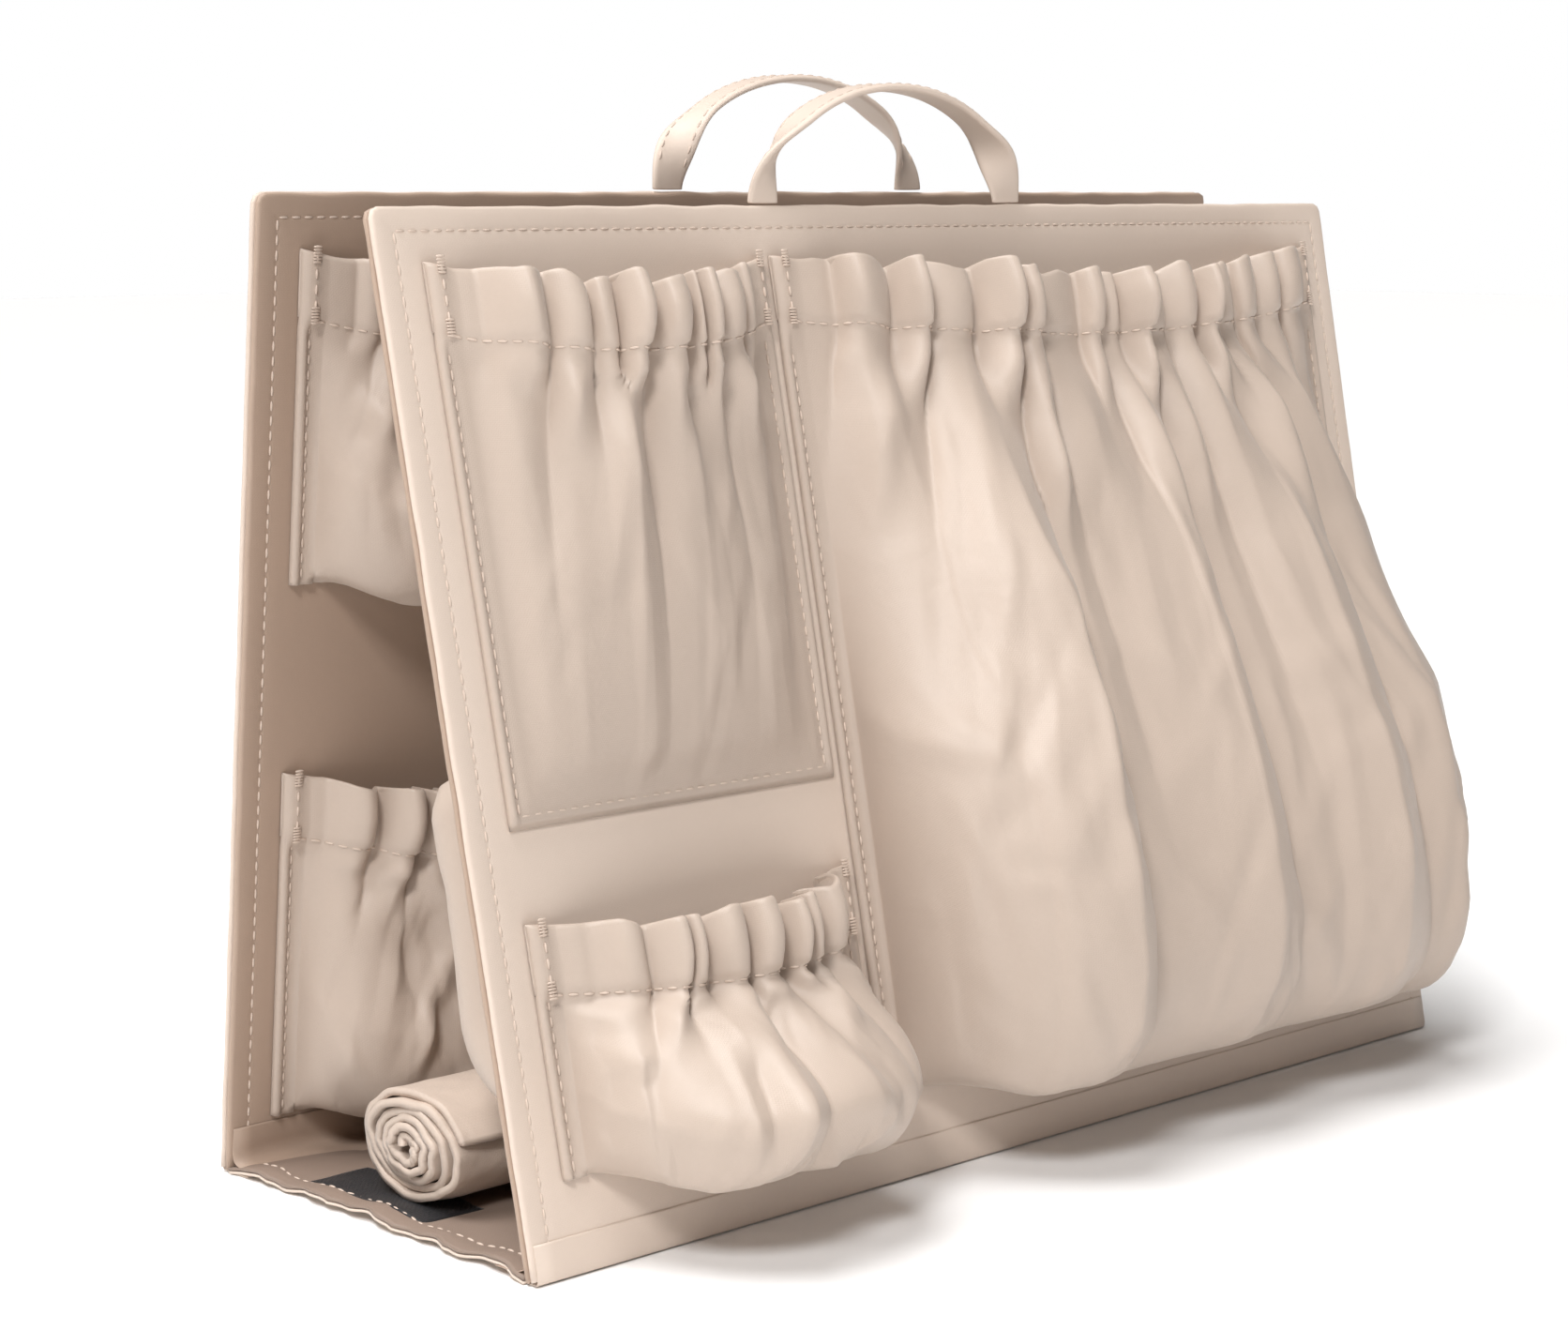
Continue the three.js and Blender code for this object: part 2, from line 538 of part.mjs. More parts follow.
// Base: two soft plies between the panels' inner corners
function basePieces() {
  const foldClearance = PANEL_THICKNESS + GAP;
  const outline = new THREE.Shape();
  const [x, y] = [PANEL_BOTTOM_WIDTH / 2, BASE_DEPTH / 2 - foldClearance];
  outline.setFromPoints([[-x, -y], [x, -y], [x, y], [-x, y]].map(([a, b]) => new THREE.Vector2(a, b)));
  const ply = () => new THREE.ExtrudeGeometry(outline, { depth: BASE_PLY, bevelEnabled: false });
  const labelX = LABEL_INSET + LABEL_WIDTH / 2 - PANEL_BOTTOM_WIDTH / 2;
  const label = block(LABEL_WIDTH, LABEL_LENGTH, LABEL_THICKNESS, labelX, LABEL_OFFSET,
    BASE_TOP + GAP + LABEL_THICKNESS / 2);
  return [
    named("base_cover", ply(), COVER_CLOTH),
    named("base_lining", ply().translate(0, 0, BASE_PLY + GAP), LINING_CLOTH),
    named("base_label", label, LABEL_CLOTH),
  ];
}

// Mat: one long sheet rolled into a flattened spiral that lies along the base
function rolledMat() {
  const STEPS_PER_TURN = 24;
  const steps = ROLL_TURNS * STEPS_PER_TURN;
  const pitch = (ROLL_HALF_WIDTH - ROLL_CORE) / ROLL_TURNS;
  const flatten = ROLL_HALF_HEIGHT / ROLL_HALF_WIDTH;
  const thickness = MAT_FILL * pitch;
  const spiral = (step, offset) => {
    const angle = (2 * Math.PI * step) / STEPS_PER_TURN;
    const radius = ROLL_CORE + (pitch * step) / STEPS_PER_TURN + offset - thickness;
    return new THREE.Vector2(Math.cos(angle) * radius, Math.sin(angle) * radius * flatten);
  };
  const outside = Array.from({ length: steps + 1 }, (_, step) => spiral(step, thickness));
  const inside = Array.from({ length: steps + 1 }, (_, step) => spiral(step, 0));
  const gaps = inside.slice(STEPS_PER_TURN).map((point, step) => point.distanceTo(outside[step]));
  const leastGap = Math.min(...gaps);
  console.log(`rolled mat: least gap between turns ${leastGap.toFixed(2)} mm`);
  const roll = new THREE.ExtrudeGeometry(new THREE.Shape([...outside, ...inside.reverse()]),
    { depth: MAT_WIDTH, bevelEnabled: false });
  const alongX = new THREE.Matrix4().makeBasis(
    new THREE.Vector3(0, 1, 0), new THREE.Vector3(0, 0, 1), new THREE.Vector3(1, 0, 0));
  const mat = named("rolled_mat", roll.applyMatrix4(alongX), POCKET_CLOTH);
  const restHeight = BASE_TOP + LABEL_THICKNESS + 2 * GAP;
  mat.position.set(MAT_END_INSET - PANEL_BOTTOM_WIDTH / 2, 0, restHeight + ROLL_HALF_HEIGHT);
  return mat;
}

const frontPockets = [...outerSet("front", LARGE_POCKET_DEPTH, LARGE_POCKET_SWELL), ...innerFrontSet];
const backPockets = [...outerSet("back", BACK_LARGE_DEPTH, BACK_LARGE_SWELL), ...innerBackSet];
const frontPanel = leaningPanel("front", FRONT_LEAN, FRONT_HANDLE_OFFSET, frontPockets);
frontPanel.position.set(0, -BASE_DEPTH / 2, FOLD_HEIGHT);

const backPanel = new THREE.Group();
backPanel.rotation.z = Math.PI;
backPanel.position.set(0, BASE_DEPTH / 2, FOLD_HEIGHT);
backPanel.add(leaningPanel("back", BACK_LEAN, BACK_HANDLE_OFFSET, backPockets));

const organizer = new THREE.Group();
organizer.add(...basePieces(), rolledMat(), frontPanel, backPanel);

export default organizer;
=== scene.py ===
"""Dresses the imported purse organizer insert: panels, gathered pockets, straps, base and mat."""

import math
from dataclasses import dataclass

import bmesh
import bpy
import numpy as np
from mathutils import Matrix, Vector, noise


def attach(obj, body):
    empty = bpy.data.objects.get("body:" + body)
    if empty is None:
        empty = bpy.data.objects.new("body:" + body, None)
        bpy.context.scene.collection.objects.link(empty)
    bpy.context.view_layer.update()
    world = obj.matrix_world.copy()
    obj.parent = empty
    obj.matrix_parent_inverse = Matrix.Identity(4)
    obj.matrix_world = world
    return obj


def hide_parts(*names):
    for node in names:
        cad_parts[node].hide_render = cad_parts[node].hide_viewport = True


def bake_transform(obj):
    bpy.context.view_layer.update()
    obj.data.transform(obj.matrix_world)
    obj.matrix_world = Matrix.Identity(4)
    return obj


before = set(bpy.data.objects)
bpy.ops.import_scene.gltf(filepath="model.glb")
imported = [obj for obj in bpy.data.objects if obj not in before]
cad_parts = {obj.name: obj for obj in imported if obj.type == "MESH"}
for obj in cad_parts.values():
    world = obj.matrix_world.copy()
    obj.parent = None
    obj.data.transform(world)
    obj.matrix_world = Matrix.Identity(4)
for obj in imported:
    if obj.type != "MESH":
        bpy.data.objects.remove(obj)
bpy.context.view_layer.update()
scene = bpy.context.scene

# Sizes shared with the solids, in millimetres and degrees
MM = 0.001
PANEL_TOP_WIDTH = 334.0
PANEL_BOTTOM_WIDTH = 326.0
PANEL_HEIGHT = 235.0
PANEL_THICKNESS = 3.6
FRONT_LEAN = 11.6
BACK_LEAN = 6.8
BASE_DEPTH = 120.0
FOLD_HEIGHT = 1.2
SIDE_MARGIN = 11.5
TOP_MARGIN = 11.0
NARROW_POCKET_WIDTH = 101.0
SEAM_GAP = 2.5
CASING_HEIGHT = 17.0
FLANGE = 6.0
POCKET_TOP = PANEL_HEIGHT - TOP_MARGIN

# Sewing, in millimetres
STITCH_PITCH = 3.4
STITCH_LENGTH = 2.5
THREAD = 0.7
STITCH_INSET = 5.5

UPWARD = Vector((0, 0, 1))
SAME_SPOT = 1e-7
PANEL_PLACE = {
    "front": Matrix.Translation((0, -BASE_DEPTH / 2 * MM, FOLD_HEIGHT * MM))
    @ Matrix.Rotation(-math.radians(FRONT_LEAN), 4, "X"),
    "back": Matrix.Translation((0, BASE_DEPTH / 2 * MM, FOLD_HEIGHT * MM))
    @ Matrix.Rotation(math.pi, 4, "Z")
    @ Matrix.Rotation(-math.radians(BACK_LEAN), 4, "X"),
}


def in_world(panel, points):
    """From a panel's millimetres (x across, y in from the cover, z up) to metres in the world."""
    place = np.array(PANEL_PLACE[panel])
    return np.asarray(points, float) * MM @ place[:3, :3].T + place[:3, 3]


def facing(panel, outer):
    """The way a panel's cover (outer) or its lining looks."""
    return PANEL_PLACE[panel].to_3x3() @ Vector((0, -1 if outer else 1, 0))


def standing_off(outer, off):
    """The panel's y of something that stands off its cover (outer) or off its lining."""
    return -off if outer else PANEL_THICKNESS + off


def clamp(value, low=0.0, high=1.0):
    return np.minimum(np.maximum(value, low), high)


def mix(a, b, share):
    return a + (b - a) * share


def smooth(low, high, value):
    share = clamp((value - low) / (high - low))
    return share * share * (3 - 2 * share)


def steep(share):
    """From 0 to 1 along a quarter of a sine, fast at first."""
    return np.sin(0.5 * np.pi * clamp(share))


def half_width(height):
    return mix(PANEL_BOTTOM_WIDTH, PANEL_TOP_WIDTH, height / PANEL_HEIGHT) / 2


# Materials


def feed(tree, socket, value):
    """Links another socket to an input, or sets the input to a plain value."""
    if isinstance(value, bpy.types.NodeSocket):
        tree.links.new(value, socket)
    else:
        socket.default_value = value


def node(tree, kind, inputs=(), **settings):
    """A node with its settings and then its inputs, by name or number."""
    made = tree.nodes.new(kind)
    for key, value in settings.items():
        setattr(made, key, value)
    for key, value in dict(inputs).items():
        feed(tree, made.inputs[key], value)
    return made


def maths(tree, operation, *values):
    return node(tree, "ShaderNodeMath", enumerate(values), operation=operation).outputs[0]


def group_tree(name, inputs, outputs):
    """A new node group, with the sockets it is given and those it puts out."""
    tree = bpy.data.node_groups.new(name, "ShaderNodeTree")
    for way, sockets in (("INPUT", inputs), ("OUTPUT", outputs)):
        for label, kind in sockets.items():
            tree.interface.new_socket(label, in_out=way, socket_type="NodeSocket" + kind)
    return tree, node(tree, "NodeGroupInput").outputs, node(tree, "NodeGroupOutput").inputs


def plain_weave():
    """Threads that pass over and under each other, from a map in metres."""
    tree, given, put = group_tree(
        "plain_weave", {"Vector": "Vector", "Threads per metre": "Float"}, {"Height": "Float"})
    size = {0: given["Vector"], "Scale": given["Threads per metre"]}
    scaled = node(tree, "ShaderNodeVectorMath", size, operation="SCALE")
    split = node(tree, "ShaderNodeSeparateXYZ", {0: scaled.outputs[0]}).outputs

    def humps(axis):
        wave = maths(tree, "SINE", maths(tree, "MULTIPLY", split[axis], math.pi))
        return maths(tree, "ABSOLUTE", wave)

    squares = [maths(tree, "FLOOR", split[axis]) for axis in (0, 1)]
    over = maths(tree, "ABSOLUTE", maths(tree, "MODULO", maths(tree, "ADD", *squares), 2.0))
    raised = maths(tree, "MULTIPLY", humps(0), over)
    sunk = maths(tree, "MULTIPLY", humps(1), maths(tree, "SUBTRACT", 1.0, over))
    feed(tree, put["Height"], maths(tree, "ADD", raised, sunk))
    return tree


def soft_creases():
    """Shallow crumples left by folding and handling."""
    tree, given, put = group_tree(
        "soft_creases", {"Vector": "Vector", "Scale": "Float"}, {"Height": "Float"})

    def texture(kind, factor, **inputs):
        scale = maths(tree, "MULTIPLY", given["Scale"], factor)
        inputs.update(Vector=given["Vector"], Scale=scale)
        return node(tree, "ShaderNodeTexNoise", inputs, noise_type=kind).outputs[0]

    swell = texture("FBM", 1.0, Detail=3.0, Distortion=0.6)
    ridge = texture("RIDGED_MULTIFRACTAL", 0.55, Detail=2.0, Roughness=0.45)
    feed(tree, put["Height"], maths(tree, "ADD", swell, maths(tree, "MULTIPLY", ridge, 0.35)))
    return tree


def handling_tint():
    """Uneven colour: broad patches and a faint speckle between a light and a dark tone."""
    tree, given, put = group_tree(
        "handling_tint", {"Vector": "Vector", "Light": "Color", "Dark": "Color"},
        {"Color": "Color", "Mask": "Float"})

    def texture(scale, detail, part):
        inputs = {"Vector": given["Vector"], "Scale": scale, "Detail": detail}
        return maths(tree, "MULTIPLY", node(tree, "ShaderNodeTexNoise", inputs).outputs[0], part)

    share = maths(tree, "ADD", texture(9.0, 4.0, 0.75), texture(900.0, 1.0, 0.25))
    tones = {"Factor": share, 6: given["Light"], 7: given["Dark"]}
    feed(tree, put["Color"], node(tree, "ShaderNodeMix", tones, data_type="RGBA").outputs[2])
    feed(tree, put["Mask"], share)
    return tree


WEAVE = plain_weave()
CREASES = soft_creases()
TINT = handling_tint()


def bumped(tree, group, inputs, depth, strength, **under):
    """A bump of depth millimetres from a group's height, over another bump if one is given."""
    height = node(tree, "ShaderNodeGroup", inputs, node_tree=group).outputs["Height"]
    bump = dict(under, Height=height, Distance=depth * MM, Strength=strength)
    return node(tree, "ShaderNodeBump", bump).outputs[0]


def tinted(name, light, dark):
    """A material that wanders between two tones, with its shader, coordinates and mask."""
    material = bpy.data.materials.new(name)
    material.use_nodes = True
    tree = material.node_tree
    shader = tree.nodes["Principled BSDF"].inputs
    where = node(tree, "ShaderNodeTexCoord").outputs
    tones = {"Vector": where["Object"], "Light": (*light, 1), "Dark": (*dark, 1)}
    tint = node(tree, "ShaderNodeGroup", tones, node_tree=TINT).outputs
    feed(tree, shader["Base Color"], tint["Color"])
    return material, tree, shader, where, tint["Mask"]


def cloth_material(
    name, light, dark, roughness, threads, weave_depth, crease_scale, crease_depth, sheen
):
    """Woven or coated cloth, whose threads run along its own flat pattern."""
    material, tree, shader, where, mask = tinted(name, light, dark)
    uneven = maths(tree, "ADD", maths(tree, "MULTIPLY", mask, 0.16), roughness - 0.08)
    feed(tree, shader["Roughness"], uneven)
    weave = {"Vector": where["UV"], "Threads per metre": threads}
    fine = bumped(tree, WEAVE, weave, weave_depth, 0.6)
    creases = {"Vector": where["Object"], "Scale": crease_scale}
    feed(tree, shader["Normal"], bumped(tree, CREASES, creases, crease_depth, 0.8, Normal=fine))
    shader["Specular IOR Level"].default_value = 0.42
    shader["Sheen Weight"].default_value = sheen
    shader["Sheen Roughness"].default_value = 0.4
    return material


def plain_material(name, light, dark, roughness, grain_scale, grain_depth):
    """A plain stock surface with a fine grain and uneven tone."""
    material, tree, shader, where, _ = tinted(name, light, dark)
    shader["Roughness"].default_value = roughness
    grain = {"Vector": where["Object"], "Scale": grain_scale}
    feed(tree, shader["Normal"], bumped(tree, CREASES, grain, grain_depth, 1.0))
    return material


COATED = dict(threads=2600, weave_depth=0.02, crease_scale=26, crease_depth=0.25, sheen=0.05)
PANEL_CLOTH = cloth_material(
    "beige_coated_cloth", (0.72, 0.6, 0.51), (0.675, 0.558, 0.472), roughness=0.5, **COATED)
LINING_CLOTH = cloth_material(
    "taupe_lining_cloth", (0.46, 0.338, 0.262), (0.415, 0.304, 0.233), roughness=0.52, **COATED)
# The base's upper ply: the lining's own taupe, darkened below the lining by painted shade for
# where it lies low inside the insert.
BASE_LINING_PAINTED_SHADE = cloth_material(
    "taupe_lining_painted_shade", (0.27, 0.2, 0.16), (0.246, 0.18, 0.142), roughness=0.55, **COATED)
POCKET_CLOTH = cloth_material(
    "beige_satin_nylon", (0.55, 0.45, 0.377), (0.497, 0.402, 0.335), roughness=0.42,
    threads=2200, weave_depth=0.03, crease_scale=48, crease_depth=0.5, sheen=0.12)
MAT_CLOTH = cloth_material(
    "beige_mat_nylon", (0.61, 0.5, 0.42), (0.53, 0.43, 0.358), roughness=0.48,
    threads=2000, weave_depth=0.04, crease_scale=60, crease_depth=0.9, sheen=0.12)
LABEL_TAPE = cloth_material(
    "black_woven_tape", (0.016, 0.015, 0.017), (0.009, 0.009, 0.011), roughness=0.55,
    threads=1400, weave_depth=0.08, crease_scale=90, crease_depth=0.2, sheen=0.1)
ELASTIC_WEB = cloth_material(
    "woven_elastic", (0.78, 0.73, 0.66), (0.7, 0.65, 0.58), roughness=0.75,
    threads=900, weave_depth=0.2, crease_scale=200, crease_depth=0.1, sheen=0.2)
THREAD_YARN = plain_material(
    "beige_thread", (0.7, 0.58, 0.49), (0.58, 0.46, 0.38), roughness=0.6,
    grain_scale=2500, grain_depth=0.08)
STIFFENER = plain_material(
    "grey_stiffener", (0.3, 0.28, 0.26), (0.24, 0.225, 0.205), roughness=0.7,
    grain_scale=300, grain_depth=0.05)


# Pieces


def add_piece(name, mesh_source, material, body, replaces=()):
    mesh = bpy.data.meshes.new(name)
    mesh_source.to_mesh(mesh)
    mesh_source.free()
    mesh.polygons.foreach_set("use_smooth", [True] * len(mesh.polygons))
    mesh.materials.append(material)
    piece = bpy.data.objects.new(name, mesh)
    scene.collection.objects.link(piece)
    if body:
        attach(piece, body)
    if replaces:
        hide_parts(*replaces)
    return piece


def refine(piece):
    finer = piece.modifiers.new("finer", "SUBSURF")
    finer.levels = finer.render_levels = 1


def thicken(piece, thickness, offset=-1.0):
    wall = piece.modifiers.new("cloth thickness", "SOLIDIFY")
    wall.thickness = thickness * MM
    wall.offset = offset


def grid_sheet(points, across, along, outward):
    """A grid bent to points (rows, columns, 3) in metres, most of it facing outward, with the
    places of its columns and rows on the flat cloth; and the row and column of each vertex."""
    rows, columns = points.shape[:2]
    sheet = bmesh.new()
    flat = sheet.loops.layers.uv.new("UVMap")
    bmesh.ops.create_grid(sheet, x_segments=columns - 1, y_segments=rows - 1, size=1.0)
    assert len(sheet.verts) == rows * columns
    where = {}
    for vert in sheet.verts:
        column = round((vert.co.x + 1) / 2 * (columns - 1))
        row = round((vert.co.y + 1) / 2 * (rows - 1))
        where[vert.index] = (row, column)
        vert.co = points[row, column]
    for face in sheet.faces:
        for loop in face.loops:
            row, column = where[loop.vert.index]
            loop[flat].uv = (across[column], along[row])
    sheet.normal_update()
    if sum((face.normal.dot(outward) for face in sheet.faces), 0.0) < 0:
        bmesh.ops.reverse_faces(sheet, faces=sheet.faces[:])
    return sheet, where


def surface(xs, ys, spot):
    """Rows of points in metres, each from spot(x, y) in millimetres."""
    return np.array([[spot(x, y) for x in xs] for y in ys]) * MM


def run_of(points):
    """The distance along a path from its start to each of its points."""
    steps = np.linalg.norm(np.diff(points, axis=0), axis=1)
    return np.concatenate([[0], np.cumsum(steps)])


def along_path(path, pitch):
    """Evenly spaced points and directions along a path given as rows of points."""
    path = np.asarray(path, float)
    run = run_of(path)
    count = max(int(run[-1] / pitch), 1)
    at = (np.arange(count) + 0.5) * run[-1] / count
    spots, ahead, behind = (
        np.stack([np.interp(at + shift * pitch, run, path[:, k]) for k in range(3)], axis=1)
        for shift in (0, 0.25, -0.25)
    )
    return spots, ahead - behind


def stitching(name, paths, body):
    """Rows of stitches, each a slim bead of thread that dips into the cloth at both ends."""
    bead = bmesh.new()
    bmesh.ops.create_uvsphere(bead, u_segments=6, v_segments=4, radius=1.0)
    stitch = bpy.data.meshes.new("stitch")
    bead.to_mesh(stitch)
    bead.free()
    size = Matrix.Diagonal((THREAD / 2 * MM, THREAD / 2 * MM, STITCH_LENGTH / 2 * MM, 1))
    threads = bmesh.new()
    for path in paths:
        for spot, way in zip(*along_path(path, STITCH_PITCH * MM)):
            turn = Vector(way).to_track_quat("Z", "X").to_matrix().to_4x4()
            place = Matrix.Translation(spot) @ turn @ size
            stitch.transform(place)
            threads.from_mesh(stitch)
            stitch.transform(place.inverted())
    bpy.data.meshes.remove(stitch)
    return add_piece(name, threads, THREAD_YARN, body)


# Panels: each face is a sheet whose edge is rolled over and turned in

# Field, stitch groove, rolled edge and turning: how far in from the outline, and how deep
PANEL_EDGE = [
    (9.0, 0.0), (6.4, 0.0), (5.9, 0.08), (STITCH_INSET, 0.2), (5.1, 0.08), (4.4, -0.02),
    (2.4, -0.04), (1.0, 0.0), (0.45, 0.12), (0.12, 0.42), (0.0, 0.9), (0.15, 1.3), (0.6, 1.55),
    (2.0, 1.62), (6.0, 1.62),
]
CORNER_EASE = 2.5


def panel_loop(inset, wobble, seed):
    """Points round the panel's outline, about 4 mm apart, set in by inset; the top is eased."""
    low, high = inset, PANEL_HEIGHT - inset
    bottom, top = half_width(low) - inset, half_width(high) - inset
    ease = max(CORNER_EASE - inset, 0.6)
    right = [
        (top - 0.02, high - ease),
        (top - 0.3 * ease, high - 0.3 * ease),
        (top - ease, high),
    ]
    corners = [(-bottom, low), (bottom, low), *right, *((-x, z) for x, z in reversed(right))]
    counts = [82, 58, 1, 1, 82, 1, 1, 58]
    spots = []
    for here, there, count in zip(corners, corners[1:] + corners[:1], counts):
        for k in range(count):
            spots.append(mix(np.array(here), np.array(there), k / count))
    spots = np.array(spots)
    if wobble:
        ripple = np.array([noise.noise(Vector((x * 0.09, z * 0.09, seed))) for x, z in spots])
        from_middle = np.linalg.norm(spots - [0, PANEL_HEIGHT / 2], axis=1)
        spots *= (1 - wobble * ripple / from_middle)[:, None]
    return spots


def panel_face(side, outer, face, material):
    """Loops from the field outwards and round to the inside, with the field filled in."""
    rows = []
    for inset, depth in PANEL_EDGE:
        wobble = 0.3 if inset < 3 else 0.0
        spots = panel_loop(inset, wobble, seed=3.0 if outer else 7.0)
        pucker = np.zeros(len(spots))
        if inset < 4.5:
            pucker = np.array(
                [0.09 * noise.noise(Vector((x * 0.35, z * 0.35, 1.0))) for x, z in spots])
        depths = depth + pucker if outer else PANEL_THICKNESS - depth - pucker
        points = in_world(side, np.stack([spots[:, 0], depths, spots[:, 1]], axis=1))
        rows.append(np.vstack([points, points[:1]]))
    points = np.stack(rows)
    away = facing(side, outer)
    unmapped = np.zeros(max(points.shape))
    sheet, where = grid_sheet(points, unmapped, unmapped, away)
    middle = {vert for vert in sheet.verts if where[vert.index][0] == 0}
    bmesh.ops.remove_doubles(sheet, verts=sheet.verts[:], dist=SAME_SPOT)
    middle = {vert for vert in middle if vert.is_valid}
    inner = [edge for edge in sheet.edges if edge.is_boundary and middle.issuperset(edge.verts)]
    field = bmesh.ops.holes_fill(sheet, edges=inner)["faces"][0]
    bmesh.ops.recalc_face_normals(sheet, faces=sheet.faces[:])
    sheet.normal_update()
    if field.normal.dot(away) < 0:
        bmesh.ops.reverse_faces(sheet, faces=sheet.faces[:])
    flat = sheet.loops.layers.uv.active
    back = PANEL_PLACE[side].inverted()
    for part in sheet.faces:
        for loop in part.loops:
            spot = back @ loop.vert.co
            loop[flat].uv = (spot.x, spot.z)
    piece = add_piece(f"{side}_{face}_cloth", sheet, material, f"{side}_panel",
                      [f"{side}_panel_{face}"])


def panel_stitch_path(side, outer):
    """Up one side, along the rim and down the other side, on the face."""
    low, high = 2.0, PANEL_HEIGHT - STITCH_INSET
    bottom, top = half_width(low) - STITCH_INSET, half_width(high) - STITCH_INSET
    corners = [(bottom, low), (top, high), (-top, high), (-bottom, low)]
    depth = 0.12 if outer else PANEL_THICKNESS - 0.12
    points = [(x, depth, z) for x, z in corners]
    return [in_world(side, ends) for ends in zip(points, points[1:])]


for side in ("front", "back"):
    panel_face(side, True, "cover", PANEL_CLOTH)
    panel_face(side, False, "lining", LINING_CLOTH)
    both_faces = panel_stitch_path(side, True) + panel_stitch_path(side, False)
    stitching(f"{side}_panel_stitches", both_faces, f"{side}_panel")


# Pockets: a casing gathered over its elastic, and a bag that falls from it into folds

# How far the casing's ends and the turned edge stand off the panel, and the share of the width
# over which the mouth comes away from it
CASING_SEAT = 2.2
EDGE_SEAT = 1.7
MOUTH_EASE = 0.4
CASING_ROLL = 2.6
POCKET_STITCH_INSET = 2.9
POCKET_CLOTH_THICKNESS = 0.5
ELASTIC_WIDTH = 10.0
ELASTIC_THICKNESS = 0.8
ELASTIC_ABOVE_SEAM = 3.0
DART_DEPTH = 1.4
DART_WIDTH = 1.9
CLOTH_PER_CREASE = 280
# How round the gathers, the narrow folds and the broad folds are
ROUNDNESS = (2.4, 1.4, 1.1)
# The turned edge of a pocket: columns of the mesh from the outline in, and how far they stand off
EDGE_COLUMNS = np.array([0, 0.5, 1.2, 2.0, 2.6, 3.2, 4.2, FLANGE])
EDGE_LIFT = [0.5, 1.5, 1.95, 1.8, 1.15, 1.05, 1.5, EDGE_SEAT]
# Spacing of the mesh's columns and rows, and the number of places a section is worked out at
WIDE_MESH = (1.3, 2.4)
NARROW_MESH = (1.0, 1.7)
SECTION_PLACES = 1400


def left_seam(height):
    return SIDE_MARGIN - half_width(height)


def right_seam(height):
    return half_width(height) - SIDE_MARGIN


def column_seam(height):
    return left_seam(POCKET_TOP) + NARROW_POCKET_WIDTH + 0 * height


def beside_column(height):
    return column_seam(height) + SEAM_GAP


def mirrored(seam):
    return lambda height: -seam(height)


NARROW_LEFT = (left_seam, column_seam)
WIDE_RIGHT = (beside_column, right_seam)
NARROW_RIGHT = (mirrored(column_seam), right_seam)
WIDE_LEFT = (left_seam, mirrored(beside_column))
FULL_WIDTH = (left_seam, right_seam)


# Broad folds: where each ends as a share of the cloth's width, its height beside the tallest,
# and how far its ridge leans to the right
NARROW_FOLDS = [(0.24, 0.5, 1.3), (0.47, 1.0, 1.7), (0.7, 0.65, 0.8), (1.0, 0.5, 0.7)]
WIDE_FOLDS = [(0.31, 1.0, 3.2), (0.54, 0.8, 1.9), (0.76, 0.85, 1.6), (1.0, 0.6, 0.9)]
FULL_FOLDS = [
    (0.1, 0.5, 1.4), (0.2, 0.9, 1.6), (0.31, 0.6, 0.8), (0.43, 1.0, 1.5), (0.54, 0.7, 1.2),
    (0.66, 0.95, 1.6), (0.78, 0.6, 1.1), (0.9, 0.9, 0.7), (1.0, 0.5, 0.8),
]


@dataclass
class Pocket:
    """The plan of one pocket, in millimetres."""

    side: str
    outer: bool
    seams: tuple
    bottom: float
    top: float
    folds: list
    seed: int
    depth: float  # the belly stands this far off the panel
    mouth: float  # and the mouth this far
    sag: float  # the middle of the mouth hangs this low
    gathers: int
    full: float  # cut width over gathered width
    fold: float  # how deep the folds may be
    tuck: float = 10.0  # how deep the gathers may be
    droop: float = 0.0  # the belly hangs this far below its seam
    over: float = 0.0  # a boxed side swells out by this much
    rise: float = 15.0  # width of a boxed side's slope
    fill: float = 2  # how soon, going down, the slope is that steep
    fan: float = 0.12  # share of the width by which the folds spread
    plain: float = 0.2  # share beside each seam where the gathers die out
    crisp: float = 1.0  # height of the creases beside the usual
    patch: bool = False  # a flat pocket, sewn down along its bottom too


